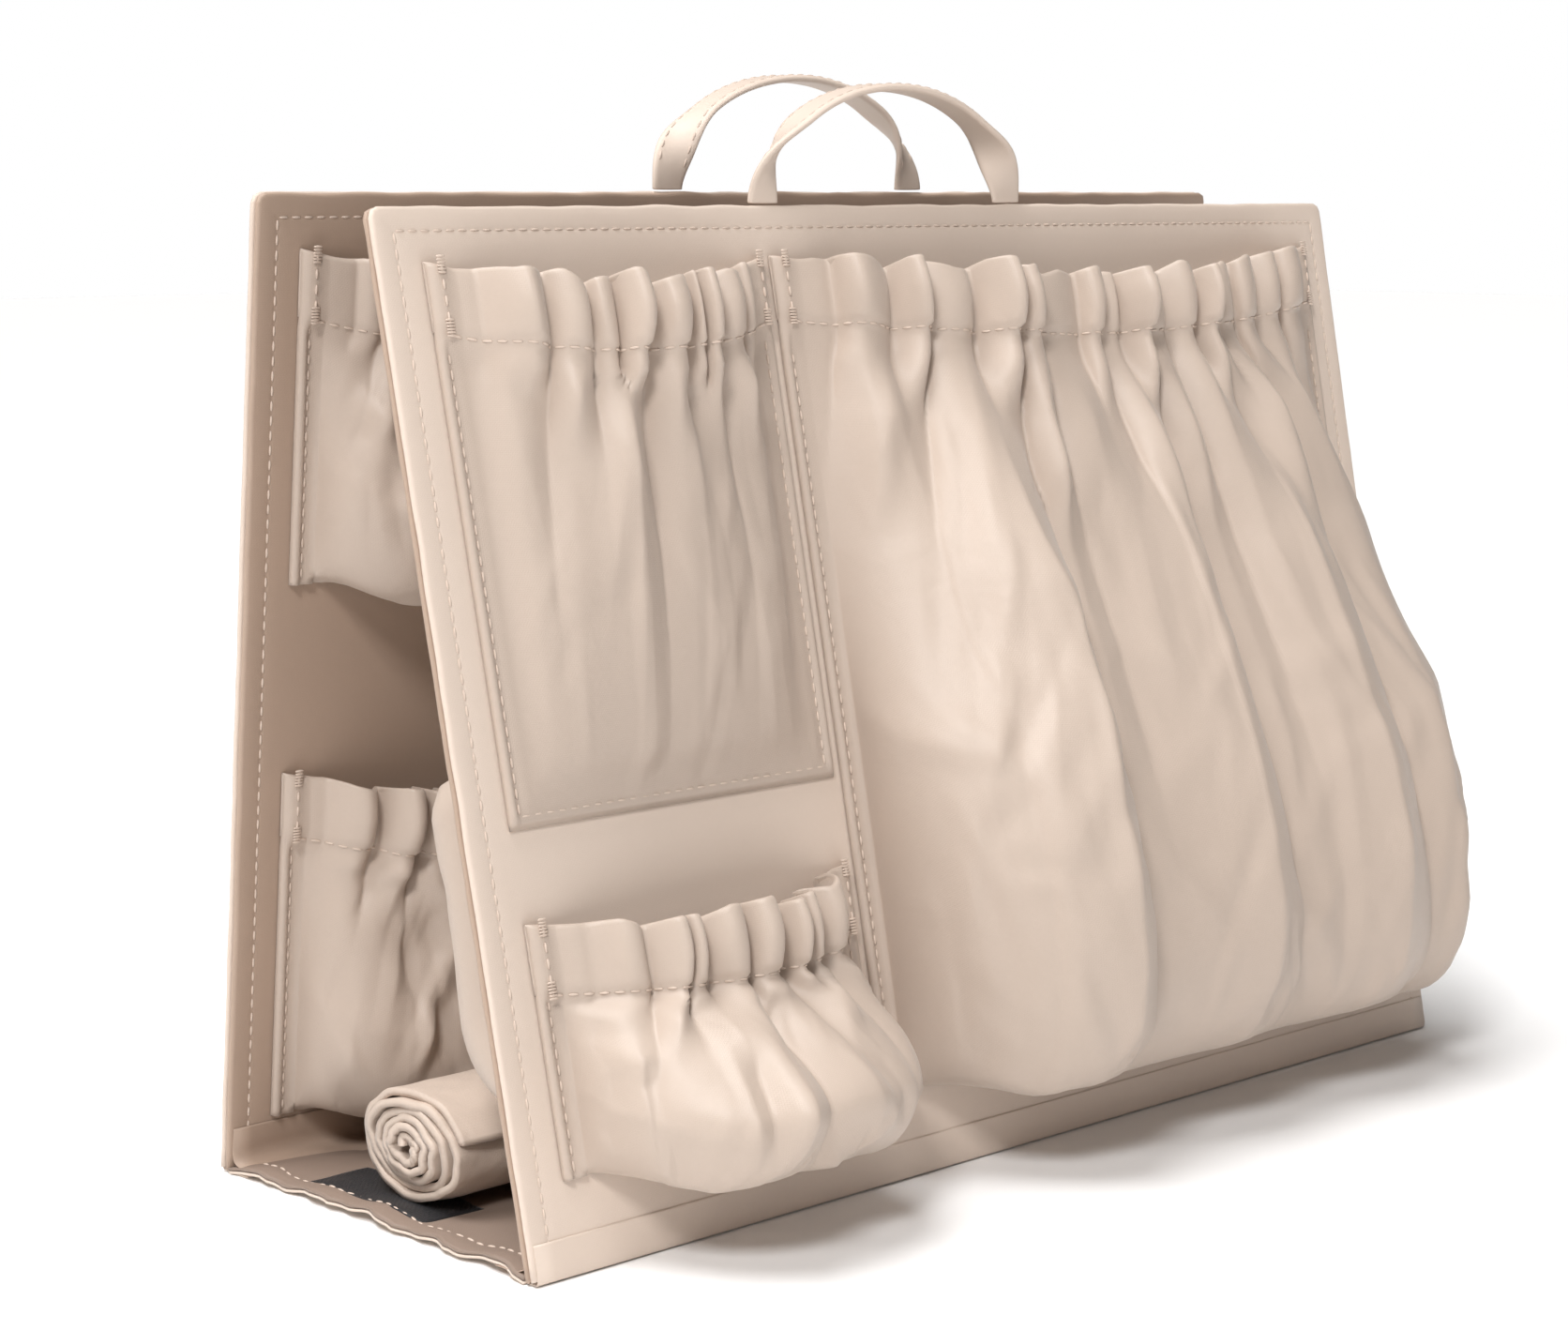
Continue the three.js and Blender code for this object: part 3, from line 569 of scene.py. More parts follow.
FLAT_FORM = dict(depth=15, mouth=13, sag=8, gathers=10, full=1.6, fold=7.0, fan=0.1,
                 patch=True, crisp=0.55)
BOXED_FORM = dict(depth=42, mouth=16, sag=4, gathers=11, full=1.75, droop=7, over=4, fold=7.0,
                  fan=0.14, crisp=2.5)
INNER_FORM = dict(gathers=11, over=4, rise=16, fold=6.0, crisp=2.0, plain=0.12)
POCKETS = {
    "front_upper_pocket": Pocket(
        "front", True, NARROW_LEFT, 97, POCKET_TOP, NARROW_FOLDS, 11, **FLAT_FORM),
    "front_lower_pocket": Pocket(
        "front", True, NARROW_LEFT, 20, 78, NARROW_FOLDS, 23, **BOXED_FORM),
    "front_large_pocket": Pocket(
        "front", True, WIDE_RIGHT, 20, POCKET_TOP, WIDE_FOLDS, 37, depth=46, mouth=15, sag=9,
        gathers=19, full=1.75, droop=4, over=7, fold=16.0, fan=0.1, crisp=0.8, plain=0.1),
    "back_upper_pocket": Pocket(
        "back", True, NARROW_LEFT, 97, POCKET_TOP, NARROW_FOLDS, 41, **FLAT_FORM),
    "back_lower_pocket": Pocket(
        "back", True, NARROW_LEFT, 20, 78, NARROW_FOLDS, 53, **BOXED_FORM),
    "back_large_pocket": Pocket(
        "back", True, WIDE_RIGHT, 20, POCKET_TOP, WIDE_FOLDS, 67, depth=21, mouth=15, sag=9,
        gathers=16, full=1.4, droop=4, fold=7.0, fan=0.06, crisp=0.7),
    "inner_upper_pocket": Pocket(
        "back", False, NARROW_RIGHT, 144, POCKET_TOP, NARROW_FOLDS, 71,
        **dict(INNER_FORM, depth=25, mouth=9.5, sag=6, full=1.6, droop=4, tuck=5.0)),
    "inner_lower_pocket": Pocket(
        "back", False, NARROW_RIGHT, 12, 100, NARROW_FOLDS, 83,
        **dict(INNER_FORM, depth=27, mouth=15, sag=5, full=1.65, droop=2, over=5)),
    "inner_large_pocket": Pocket(
        "back", False, WIDE_LEFT, 12, POCKET_TOP, WIDE_FOLDS, 97, depth=29, mouth=9.5, sag=8,
        gathers=16, full=1.4, droop=2, over=3, fold=6.0, tuck=5.0),
    "inner_front_pocket": Pocket(
        "front", False, FULL_WIDTH, 34, 150, FULL_FOLDS, 103, depth=34, mouth=16, sag=7,
        gathers=22, full=1.3, droop=1, over=15, rise=10, fold=5.0, fan=0.08, fill=5, crisp=0.8),
}


def rolled_edge(distance):
    """How far the turned edge of a pocket stands off the panel, by distance from its outline."""
    return np.interp(distance, EDGE_COLUMNS, EDGE_LIFT)


def from_edge(across, width):
    return np.minimum(across, width - across)


def mouth_width(spec):
    left, right = spec.seams
    return right(spec.top) - left(spec.top)


def mouth_off(spec, across):
    """How far the mouth stands off the panel, by the place across it."""
    width = mouth_width(spec)
    inset = from_edge(across, width) - FLANGE
    return CASING_SEAT + (spec.mouth - CASING_SEAT) * steep(inset / (MOUTH_EASE * width))


def mouth_line(spec, share):
    """The height of the casing's seam, by the share of the width."""
    return spec.top - CASING_HEIGHT - spec.sag * (1 - (2 * share - 1) ** 2)


def smooth_curve(knots, count=160):
    """A smooth curve through knots (off, height), as closely spaced points."""
    knots = np.array(knots, float)
    ends = np.vstack([2 * knots[0] - knots[1], knots, 2 * knots[-1] - knots[-2]])
    curve = []
    for a, b, c, d in zip(ends, ends[1:], ends[2:], ends[3:]):
        t = np.linspace(0, 1, count // (len(knots) - 1), endpoint=False)[:, None]
        square, cube = 2 * a - 5 * b + 4 * c - d, 3 * b - a - 3 * c + d
        curve.append(0.5 * (2 * b + (c - a) * t + square * t**2 + cube * t**3))
    return np.vstack(curve + [knots[-1:]])


def gather_cells(spec):
    """The broad folds, split into narrower ones and into gathers, closest in the middle."""
    chance = np.random.default_rng(spec.seed)
    broad = np.array([0.0] + [end for end, _, _ in spec.folds])
    gathers, pairs = [0.0], [0.0]
    for start, end in zip(broad, broad[1:]):
        crowd = 0.65 + 0.55 * math.sin(math.pi * (start + end) / 2)
        count = max(round(spec.gathers * (end - start) * crowd), 1)
        wide = np.exp(0.45 * chance.uniform(-1, 1, count))
        marks = start + (end - start) * np.cumsum(wide) / wide.sum()
        gathers.extend(marks)
        pairs.extend(marks[1::2] if count % 2 == 0 else marks[::2])
    cells = []
    for ends, lowest in ((gathers, 0.25), (pairs, 0.45)):
        ends = np.array(ends)
        centre = (ends[1:] + ends[:-1]) / 2
        tall = chance.uniform(lowest, 1.0, len(ends) - 1)
        tall *= 0.12 + 0.88 * smooth(0.02, spec.plain, np.minimum(centre, 1 - centre))
        cells.append((ends, tall, np.exp(0.7 * chance.uniform(-1, 1, len(tall)))))
    cells.append((broad, *np.array(spec.folds)[:, 1:].T))
    return cells


def ridges(cells, share, power):
    """Ridges between narrow valleys, from 0 to 1; a higher power makes them rounder."""
    ends, tall, lean = cells
    share = clamp(share)
    cell = np.clip(np.searchsorted(ends, share, side="right") - 1, 0, len(tall) - 1)
    inside = clamp((share - ends[cell]) / (ends[cell + 1] - ends[cell]))
    return tall[cell] * (1 - np.abs(2 * inside ** lean[cell] - 1) ** power)


def fold_wave(spec, cells, share, level):
    """Gathers at the seam that join into folds on the way down, fan out and wander a little."""
    fan = spec.fan * min(1.8 * level, 1)
    share = fan + share * (1 - 2 * fan)
    drift = share + 0.006 * np.sin(5 * level + 7 * share + spec.seed) * min(4 * level, 1)
    fine, middle, broad = map(ridges, cells, (share, drift, drift), ROUNDNESS)
    joined = mix(fine, middle, smooth(0.02, 0.12, level))
    shallow = 0.22 * (1 - smooth(0.3, 0.7, level))
    return mix(joined, broad + shallow * (middle - 0.5), smooth(0.07, 0.27, level))


def boxed(share, sharp=9.0):
    """From 0 up a straight wall to 1, with a narrow corner where the wall meets the face."""
    rest = math.exp(-sharp)
    return -np.log(np.exp(-sharp * share) + rest) / sharp + math.log(1 + rest) / sharp


def section(spec, level, off, width, dense, wave, cut):
    """One level of the cloth, with folds that use up the cut width: the places across, how far
    they stand off, the run along the cloth, the folds alone and how full the side is."""
    edge = from_edge(dense, width)
    inset = np.maximum(edge - FLANGE, 0)
    rise = mix(MOUTH_EASE * width, spec.rise, min(spec.fill * level, 1))
    full = mix(steep(inset / rise), boxed(inset / rise), smooth(0.15, 0.55, level))
    reach = clamp(inset / 12)
    wave = wave * reach
    bulge = np.sin(np.pi * clamp(inset / rise)) * np.sign(dense - width / 2)
    swell = spec.over * min(4 * level, 1) * bulge
    base = EDGE_SEAT + (off - EDGE_SEAT) * full
    fold = spec.fold
    low_folds = (0.45, 0.1) if spec.patch else (0.8, 0.5)
    deepest = np.interp(
        level, [0, 0.1, 0.3, 0.6, 0.85, 1],
        [spec.tuck, 0.9 * spec.tuck, fold, low_folds[0] * fold, low_folds[1] * fold, 0.5])

    def length(depth):
        return run_of(np.stack([dense + swell, base + depth * wave], axis=1))

    low, high = 0.0, float(deepest)
    for _ in range(20):
        depth = (low + high) / 2
        if length(depth)[-1] < cut:
            low = depth
        else:
            high = depth
    folded = base + depth * (wave - 0.22 * reach * min(4 * level, 1))
    lift = np.where(edge < FLANGE, rolled_edge(edge), folded)
    return dense + swell, lift, length(depth), depth * wave, full


def crease_lines(spec, cut, length):
    """Short creases on the flat cloth: place, direction, half length, half width and height."""
    chance = np.random.default_rng(spec.seed + 5)
    count = int(cut * length / CLOTH_PER_CREASE)
    across = chance.uniform(FLANGE, cut - FLANGE, count)
    down = chance.uniform(0, length, count)
    low = down / length
    outwards = 1.2 * (across / cut - 0.5) * low
    turn = outwards + chance.normal(0, 1, count) * mix(0.35, 1.0, low)
    wide = chance.uniform(3.5, 9.0, count)
    tall = 0.16 * wide * chance.uniform(0.5, 1.2, count)
    tall = tall * np.where(chance.uniform(0, 1, count) < 0.55, 1, -1)
    return across, down, np.sin(turn), np.cos(turn), chance.uniform(12, 40, count), wide, tall


def creased(lines, across, down):
    """Height of the creases along one row: each is a low roof that runs out at both ends."""
    at, from_top, sine, cosine, long, wide, tall = lines
    aside, below = across[:, None] - at, down - from_top
    off, on = aside * cosine - below * sine, aside * sine + below * cosine
    roof = clamp(1 - np.abs(off) / wide) * clamp(1 - (on / long) ** 2) ** 2
    return (tall * roof).sum(axis=1)


def dart(spec, from_side, from_bottom):
    """The seam across each lower corner, where the cloth is taken in to box the bag."""
    off_line = (from_bottom - (from_side - FLANGE)) / math.sqrt(2)
    near = (from_side < FLANGE + 0.85 * spec.depth) & (from_side > FLANGE)
    return np.where(near, -DART_DEPTH * np.exp(-((off_line / DART_WIDTH) ** 2)), 0.0)


class PocketSheet:
    """One pocket's cloth in its panel's coordinates: rows of points from the casing's back ply
    over its top and down the bag, and a mark for each row."""

    def __init__(self, spec):
        self.spec = spec
        self.width = mouth_width(spec)
        self.cut = spec.full * self.width
        column_pitch, self.row_pitch = WIDE_MESH if self.width > 150 else NARROW_MESH
        self.inner = np.linspace(0, 1, int(self.cut / column_pitch))[1:-1]
        self.dense = np.linspace(0, self.width, SECTION_PLACES)
        self.share = self.dense / self.width
        self.seam = mouth_line(spec, self.share)
        self.cells = gather_cells(spec)
        middle = mix(FLANGE, self.cut - FLANGE, self.inner)
        self.flat = np.concatenate([EDGE_COLUMNS, middle, self.cut - EDGE_COLUMNS[::-1]])
        self.rows, self.marks = [], []
        self.casing()
        self.bag()
        self.points = np.stack(self.rows)
        self.run = run_of(self.points[:, len(self.flat) // 2])

    def columns(self, values, run):
        """Dense values picked at the cloth's own even spacing, with the turned edges kept."""
        first = np.searchsorted(self.dense, FLANGE)
        last = np.searchsorted(self.dense, self.width - FLANGE) - 1
        middle = np.interp(mix(run[first], run[last], self.inner), run, values)
        right = self.width - EDGE_COLUMNS[::-1]
        return np.concatenate([np.interp(EDGE_COLUMNS, self.dense, values), middle,
                               np.interp(right, self.dense, values)])

    def add_row(self, mark, across, off, height):
        left, right = self.spec.seams
        x = mix(left(height), right(height), across / self.width)
        self.rows.append(np.stack([x, standing_off(self.spec.outer, off), height], axis=1))
        self.marks.append(mark)

    def level(self, level, off, cut):
        wave = fold_wave(self.spec, self.cells, self.share, level)
        return section(self.spec, level, off, self.width, self.dense, wave, cut)

    def casing(self):
        """Two plies round the elastic, gathered, with a roll along the top."""
        spec, width = self.spec, self.width
        x, _, run, wave, _ = self.level(0.0, spec.mouth, self.cut)
        across, ridge = self.columns(x, run), self.columns(wave, run)
        mouth = self.columns(mouth_off(spec, self.dense), run)
        line = self.columns(self.seam, run)
        edge = from_edge(across, width)
        inward = clamp((edge - FLANGE) / 12)
        shut = np.interp(edge, [0, 1.2, 3.0], [0.35, 0.8, 1.0])
        chance = np.random.default_rng(spec.seed + 2)
        knots = np.linspace(0, width, 2 * spec.gathers)

        def uneven(low, high):
            return np.interp(across, knots, chance.uniform(low, high, len(knots)))

        slant = uneven(-4.0, 4.0) * clamp((edge - FLANGE) / 28)
        peak = uneven(-2.2, 2.2) * inward + 0.18 * ridge
        pinch = 1 + uneven(-0.25, 0.35) * inward

        def ply(front, rise):
            level = rise / CASING_HEIGHT
            swell = 1 + 0.3 * pinch * math.sin(math.pi * level)
            face = mouth + 1.0 + swell * ridge
            if front:
                return shut * face
            around_elastic = mouth - 1.0 - 0.3 * swell * np.minimum(ridge, 4)
            return shut * mix(around_elastic, face - 2.4, smooth(0.65, 0.85, level))

        def casing_row(off, rise, lift=0.0):
            level = rise / CASING_HEIGHT
            height = line + rise + lift + peak * level**2
            self.add_row("casing", across + slant * level * (1.3 - level), off, height)

        roll = CASING_HEIGHT - CASING_ROLL
        for rise in (0.0, 3.0, 7.0, 11.0, roll):
            casing_row(ply(False, rise), rise)
        middle = (ply(True, roll) + ply(False, roll)) / 2
        half = (ply(True, roll) - ply(False, roll)) / 2
        for angle in (150, 120, 90, 60, 30):
            turn = math.radians(angle)
            casing_row(middle + half * math.cos(turn), roll, 1.2 * math.sin(turn))
        for rise in (roll, 12.0, 9.5, 7.0, 4.6, 2.6, 1.1):
            casing_row(ply(True, rise), rise)
        self.across, self.edge = across, edge
        self.start = shut * (mouth + 0.4 + 0.88 * ridge)
        self.add_row("mouth", across, self.start, line)

    def fall_curve(self, drop):
        """The middle of a boxed bag from its mouth to its bottom seam, as (off, height)."""
        mouth, depth, droop = self.spec.mouth, self.spec.depth, self.spec.droop
        return smooth_curve([
            (mouth, drop),
            (mix(mouth, depth, 0.5), 0.66 * drop),
            (0.97 * depth, 0.3 * drop),
            (0.95 * depth, 0.08 * drop),
            (0.66 * depth, -droop),
            (0.26 * depth, -0.6 * droop),
            (1.2, 0.0),
        ])

    def bag(self):
        """The cloth below the mouth, level by level; a flat pocket's is taken in on the way."""
        spec, width, bottom = self.spec, self.width, self.spec.bottom
        drop = spec.top - CASING_HEIGHT - spec.sag - bottom
        longest = drop
        if not spec.patch:
            curve = self.fall_curve(drop)
            fall_run = run_of(curve)
            longest = fall_run[-1]
        lines = crease_lines(spec, self.cut, longest)
        for level in np.linspace(0, 1, int(longest / self.row_pitch) + 1)[1:]:
            if spec.patch:
                off = mix(spec.mouth, CASING_SEAT, level**0.9)
                off += 0.28 * spec.depth * math.sin(math.pi * level)
                fall, cut = level, mix(self.cut, width + 1.0, level**1.5)
            else:
                off = float(np.interp(level * longest, fall_run, curve[:, 0]))
                fall = 1 - float(np.interp(level * longest, fall_run, curve[:, 1])) / drop
                cut = self.cut
            x, lift, run, _, full = self.level(level, off, cut)
            height = self.seam - mix(level, fall, full) * (self.seam - bottom)
            if spec.patch:
                inset = np.minimum(height - bottom, from_edge(self.dense, width))
                lift = mix(rolled_edge(inset), lift, smooth(3.5, 14.0, inset))
            here, tall, across = (self.columns(values, run) for values in (lift, height, x))
            loose = clamp((self.edge - FLANGE - 2) / 14)
            loose *= smooth(0.04, 0.2, level) * smooth(1.0, 0.93, level)
            here = here + loose * spec.crisp * creased(lines, self.flat, level * longest)
            if not spec.patch:
                here = here + dart(spec, from_edge(across, width), (1 - level) * longest)
            settle = smooth(0.0, 0.05, level)
            self.add_row("bag", mix(self.across, across, settle),
                         mix(self.start, here, settle), tall)


def pocket_cloth(name, spec):
    cloth = PocketSheet(spec)
    side = spec.side
    sheet, where = grid_sheet(in_world(side, cloth.points), cloth.flat * MM, cloth.run * MM,
                              facing(side, spec.outer))
    piece = add_piece(f"{name}_cloth", sheet, POCKET_CLOTH, f"{side}_panel",
                      [f"{name}_bag", f"{name}_casing"])
    return name, piece, cloth, where


def pocket_stitches(name, piece, cloth, where):
    """Thread along the casing's seam and down both turned edges, and under a flat pocket."""
    spec, flat = cloth.spec, cloth.flat
    side = spec.side
    out = facing(side, spec.outer)
    mouth_row = cloth.marks.index("mouth")
    seam = {}
    for index, (row, column) in where.items():
        if row == mouth_row and 3.0 <= min(flat[column], flat[-1] - flat[column]):
            seam[column] = piece.data.vertices[index].co + out * 0.2 * MM
    paths = [[seam[column] for column in sorted(seam)]]

    def add_path(spots):
        """spots: places on the panel as (x, height, how far they stand off it)."""
        paths.append(in_world(
            side, [(x, standing_off(spec.outer, off), height) for x, height, off in spots]))

    low = spec.bottom + (POCKET_STITCH_INSET if spec.patch else 1.0)
    high, line = spec.top - 1.5, spec.top - CASING_HEIGHT
    on_bag, on_casing, on_bar = 1.25, 3.35, 3.4
    left, right = spec.seams
    for edge, sign in ((left, 1), (right, -1)):
        inset = sign * POCKET_STITCH_INSET
        add_path([(edge(h) + inset, h, on_bag) for h in np.linspace(low, line - 1, 12)])
        add_path([(edge(h) + inset, h, on_casing) for h in np.linspace(line + 1, high, 4)])
        for height in (line + 0.5, high - 1.0):
            for k in range(6):
                add_path([(edge(height) + sign * across, height + 0.7 * (k - 2.5), on_bar)
                          for across in (1.2, 4.6)])
    if spec.patch:
        foot = np.linspace(left(low) + POCKET_STITCH_INSET, right(low) - POCKET_STITCH_INSET, 12)
        add_path([(x, low, on_bag) for x in foot])
    stitching(f"{name}_stitches", paths, f"{side}_panel")


def pocket_elastic(name, spec):
    """The flat woven band that runs inside the casing."""
    side = spec.side
    left, right = spec.seams
    width = mouth_width(spec)
    run = np.linspace(3.0, width - 3.0, int(width / 3))
    share = run / width
    depth = standing_off(spec.outer, mouth_off(spec, run))
    rises = ELASTIC_ABOVE_SEAM + ELASTIC_WIDTH * np.array([0, 0.35, 0.7, 1])
    rows = []
    for rise in rises:
        height = mouth_line(spec, share) + rise
        rows.append(np.stack([mix(left(height), right(height), share), depth, height], axis=1))
    points = in_world(side, np.stack(rows))
    sheet, _ = grid_sheet(points, run * MM, rises * MM, facing(side, spec.outer))
    piece = add_piece(f"{name}_elastic_band", sheet, ELASTIC_WEB, f"{side}_panel",
                      [f"{name}_elastic"])
    thicken(piece, ELASTIC_THICKNESS, offset=0.0)
    float(run_of(points[0])[-1])


for name, piece, cloth, where in [pocket_cloth(*item) for item in POCKETS.items()]:
    spec = cloth.spec
    pocket_stitches(name, piece, cloth, where)
    pocket_elastic(name, spec)
    thicken(piece, POCKET_CLOTH_THICKNESS)


# Handles: a folded strap that turns a quarter between the rim and the arch

STRAP_WIDTH = 10.0
STRAP_THICKNESS = 2.0
STRAP_LENGTH = 118.0
STRAP_GIRTH = 22
STRAP_SEAM = 3.4
HANDLE_SPAN = 86.0
HANDLE_RISE = 28.4


def strap_section(width, thickness):
    """Corners of a flat strap's rounded section, along one side and back along the other."""
    w, t = width / 2, thickness / 2
    rounding = [(w - 0.4, 0.62 * t), (w - 1.2, t), (w - 2.2, 0.86 * t)]
    left = [(-a, b) for a, b in rounding]
    upper = left + [(0, 0.98 * t)] + rounding[::-1]
    lower = [(a, -b) for a, b in reversed(upper)]
    return [(-w, 0), *upper, (w, 0), *lower]


def handle_frame(share):
    """The strap's middle, and the ways across it and through it, along the arch."""
    angle = math.pi * share
    half = HANDLE_SPAN / 2
    centre = Vector((-math.cos(angle) * half, 0, math.sin(angle) * HANDLE_RISE))
    tangent = Vector((math.sin(angle) * half, 0, math.cos(angle) * HANDLE_RISE)).normalized()
    radial = Vector((tangent.z, 0, -tangent.x))
    twist = 0.5 * math.pi * float(smooth(0.0, 0.26, min(share, 1 - share)))
    across = radial * math.cos(twist) + Vector((0, math.sin(twist), 0))
    return centre, across, tangent.cross(across)


def handle_strap(side, offset):
    """The strap is a closed tube of folded cloth, cut square at the rim."""
    on_rim = Vector((offset, PANEL_THICKNESS / 2, PANEL_HEIGHT + 0.6))
    pivot = PANEL_PLACE[side] @ (on_rim * MM)
    turn = Matrix.Rotation(math.pi, 3, "Z") if side == "back" else Matrix.Identity(3)
    start = [0.0, 0.003, 0.01]
    end = [1 - share for share in reversed(start)]
    shares = np.array(start + list(np.linspace(0.02, 0.98, 62)) + end)
    rings, seams = [], ([], [])
    for share in shares:
        centre, across, through = handle_frame(share)

        def spot(a, t):
            return pivot + turn @ ((centre + across * a + through * t) * MM)

        near_rim = 1 - float(smooth(0.0, 0.1, min(share, 1 - share)))
        corners = strap_section(STRAP_WIDTH, STRAP_THICKNESS - 0.5 * near_rim)
        rings.append([spot(a, t) for a, t in corners + corners[:1]])
        if 0.06 < share < 0.94:
            for line, a in zip(seams, (-STRAP_SEAM, STRAP_SEAM)):
                line.append(spot(a, 0.85))
    girth = np.linspace(0, STRAP_GIRTH * MM, len(rings[0]))
    strap, _ = grid_sheet(np.array(rings), girth, shares * STRAP_LENGTH * MM, UPWARD)
    bmesh.ops.remove_doubles(strap, verts=strap.verts[:], dist=SAME_SPOT)
    bmesh.ops.holes_fill(strap, edges=[edge for edge in strap.edges if edge.is_boundary])
    bmesh.ops.recalc_face_normals(strap, faces=strap.faces[:])
    body = f"{side}_handle"
    refine(add_piece(f"{side}_handle_strap", strap, PANEL_CLOTH, body, [body]))
    stitching(f"{side}_handle_stitches", seams, body)


handle_strap("front", -6.0)
handle_strap("back", 0.0)


# Base: two thin plies with hemmed, wavy ends, and the cloth that folds up into each panel

BASE_HALF = PANEL_BOTTOM_WIDTH / 2
BASE_INSET = 4.0
LOOSE_END = 46
FOLD_WIDTH = 324
FLOOR_CLEARANCE = 0.12
BASE_PLY = 0.6
UNDER_LEVEL = 0.35
UPPER_LEVEL = 1.25
HEM_STITCH_PLACE = 156.5
FOLD_PLY = 0.22


def base_held(y, reach):
    """From 0 at the bottom folds, which hold the base down, to 1 within reach of them."""
    return steep((BASE_DEPTH / 2 - BASE_INSET - abs(y)) / reach)


def base_wave(x, y):
    """How far the loose ends of the base lift off the floor."""
    end = abs(x) - (BASE_HALF - LOOSE_END)
    if end <= 0:
        return 0.0
    phase = 1.2 if x < 0 else 2.6
    ripple = 0.5 + 0.5 * math.sin(y * 0.19 + phase) * math.cos(y * 0.083 + 0.4)
    return float(base_held(y, 16)) * (end / LOOSE_END) ** 1.6 * (0.4 + 1.9 * ripple)


def base_sway(y, end):
    """How far the hem wanders in and out."""
    return (1.3 * math.sin(y * 0.13 + 0.8) + 0.5 * math.sin(y * 0.61)) * end * base_held(y, 10)


def base_sheet(name, level, material, replaces):
    half_depth = BASE_DEPTH / 2 - BASE_INSET
    ends = np.linspace(110, BASE_HALF, 40)
    xs = np.concatenate([-ends[::-1], np.linspace(-104, 104, 36), ends])
    ys = np.linspace(-half_depth, half_depth, 60)

    def spot(x, y):
        sway = base_sway(y, clamp((abs(x) - 150) / 13))
        hem = 0.35 * math.exp(-(((BASE_HALF - abs(x)) - 3.5) / 2.2) ** 2)
        return x + abs(sway), y, level + base_wave(x, y) + hem * base_held(y, 10)

    sheet, _ = grid_sheet(surface(xs, ys, spot), xs * MM, ys * MM, UPWARD)
    piece = add_piece(name, sheet, material, "base", replaces)
    thicken(piece, BASE_PLY, offset=0.0)


def hem_path(x):
    ys = np.linspace(-52, 52, 60)
    return surface([x], ys, lambda x, y: (x + base_sway(y, 0.5), y, 1.62 + base_wave(x, y)))[:, 0]


base_sheet("base_under_cloth", UNDER_LEVEL, PANEL_CLOTH, ["base_cover"])
# The upper ply is the lining cloth darkened with painted shade.
base_sheet("base_upper_cloth", UPPER_LEVEL, BASE_LINING_PAINTED_SHADE, ["base_lining"])
hems = [hem_path(-HEM_STITCH_PLACE), hem_path(HEM_STITCH_PLACE)]
stitching("base_hem_stitches", hems, "base")


def fold_strip(name, side, inside, material):
    """The cloth of the bottom fold, from the base round into the panel."""
    sign = -1 if side == "front" else 1
    lean = math.radians(FRONT_LEAN if side == "front" else BACK_LEAN)
    up = Vector((0, -sign * math.sin(lean), math.cos(lean)))
    inward = Vector((0, -sign * math.cos(lean), -math.sin(lean)))
    corner = Vector((0, sign * BASE_DEPTH / 2, FOLD_HEIGHT))
    if inside:
        face = corner + inward * (PANEL_THICKNESS + 0.35)
        on_base = [(45.0, 1.75), (50.0, 1.85), (53.0, 2.1), (54.9, 3.0)]
        up_panel = [4.2, 7.0, 10.5]
    else:
        face = corner - inward * 0.25
        on_base = [(50.0, 0.12), (55.0, 0.12), (58.6, 0.14), (59.9, 0.5)]
        up_panel = [1.2, 4.0, 8.0]
    path = [Vector((0, sign * y, z)) for y, z in on_base] + [face + up * rise for rise in up_panel]
    curve = smooth_curve([(spot.y, spot.z) for spot in path], count=42)
    xs = np.linspace(-FOLD_WIDTH / 2, FOLD_WIDTH / 2, 60)

    def spot(x, step):
        y, z = curve[step]
        return x * (1 + 0.0004 * step / len(curve)), y, max(z, FLOOR_CLEARANCE)

    points = surface(xs, range(len(curve)), spot)
    run = np.linspace(0, 22, len(curve))
    hint = Vector((0, -sign, 1)) if inside else Vector((0, sign, -1))
    sheet, _ = grid_sheet(points, xs * MM, run * MM, hint)
    piece = add_piece(name, sheet, material, None)
    thicken(piece, FOLD_PLY)
    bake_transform(piece)
    float(run_of(curve)[-1]) * MM


for side in ("front", "back"):
    fold_strip(f"{side}_inner_fold", side, True, LINING_CLOTH)
    fold_strip(f"{side}_outer_fold", side, False, PANEL_CLOTH)


# Label: a bare piece of black tape sewn flat on the base, its edges turned under

LABEL_WIDTH = 18.0
LABEL_LENGTH = 45.0
LABEL_THICKNESS = 0.35
LABEL_LEFT = -157.0
LABEL_FRONT = -12.5


def base_label():
    xs = np.linspace(LABEL_LEFT, LABEL_LEFT + LABEL_WIDTH, 16)
    ys = np.linspace(LABEL_FRONT, LABEL_FRONT + LABEL_LENGTH, 34)

    def spot(x, y):
        return x, y, 1.75 + base_wave(x, y) + 0.12 * math.sin(y * 0.4 + x * 0.3)

    def from_ends(values):
        return np.minimum(np.arange(len(values)), np.arange(len(values))[::-1])

    points = surface(xs, ys, spot)
    rim = np.minimum.outer(from_ends(ys), from_ends(xs))
    points[:, :, 2] += np.select([rim > 1, rim == 1], [0.22, 0.12], -0.1) * MM
    sheet, _ = grid_sheet(points, xs * MM, ys * MM, UPWARD)
    piece = add_piece("black_tape_label", sheet, LABEL_TAPE, "base",
                      ["base_label"])
    thicken(piece, LABEL_THICKNESS)


base_label()


# Mat: a thin padded sheet rolled up, its turns uneven and its ends crumpled

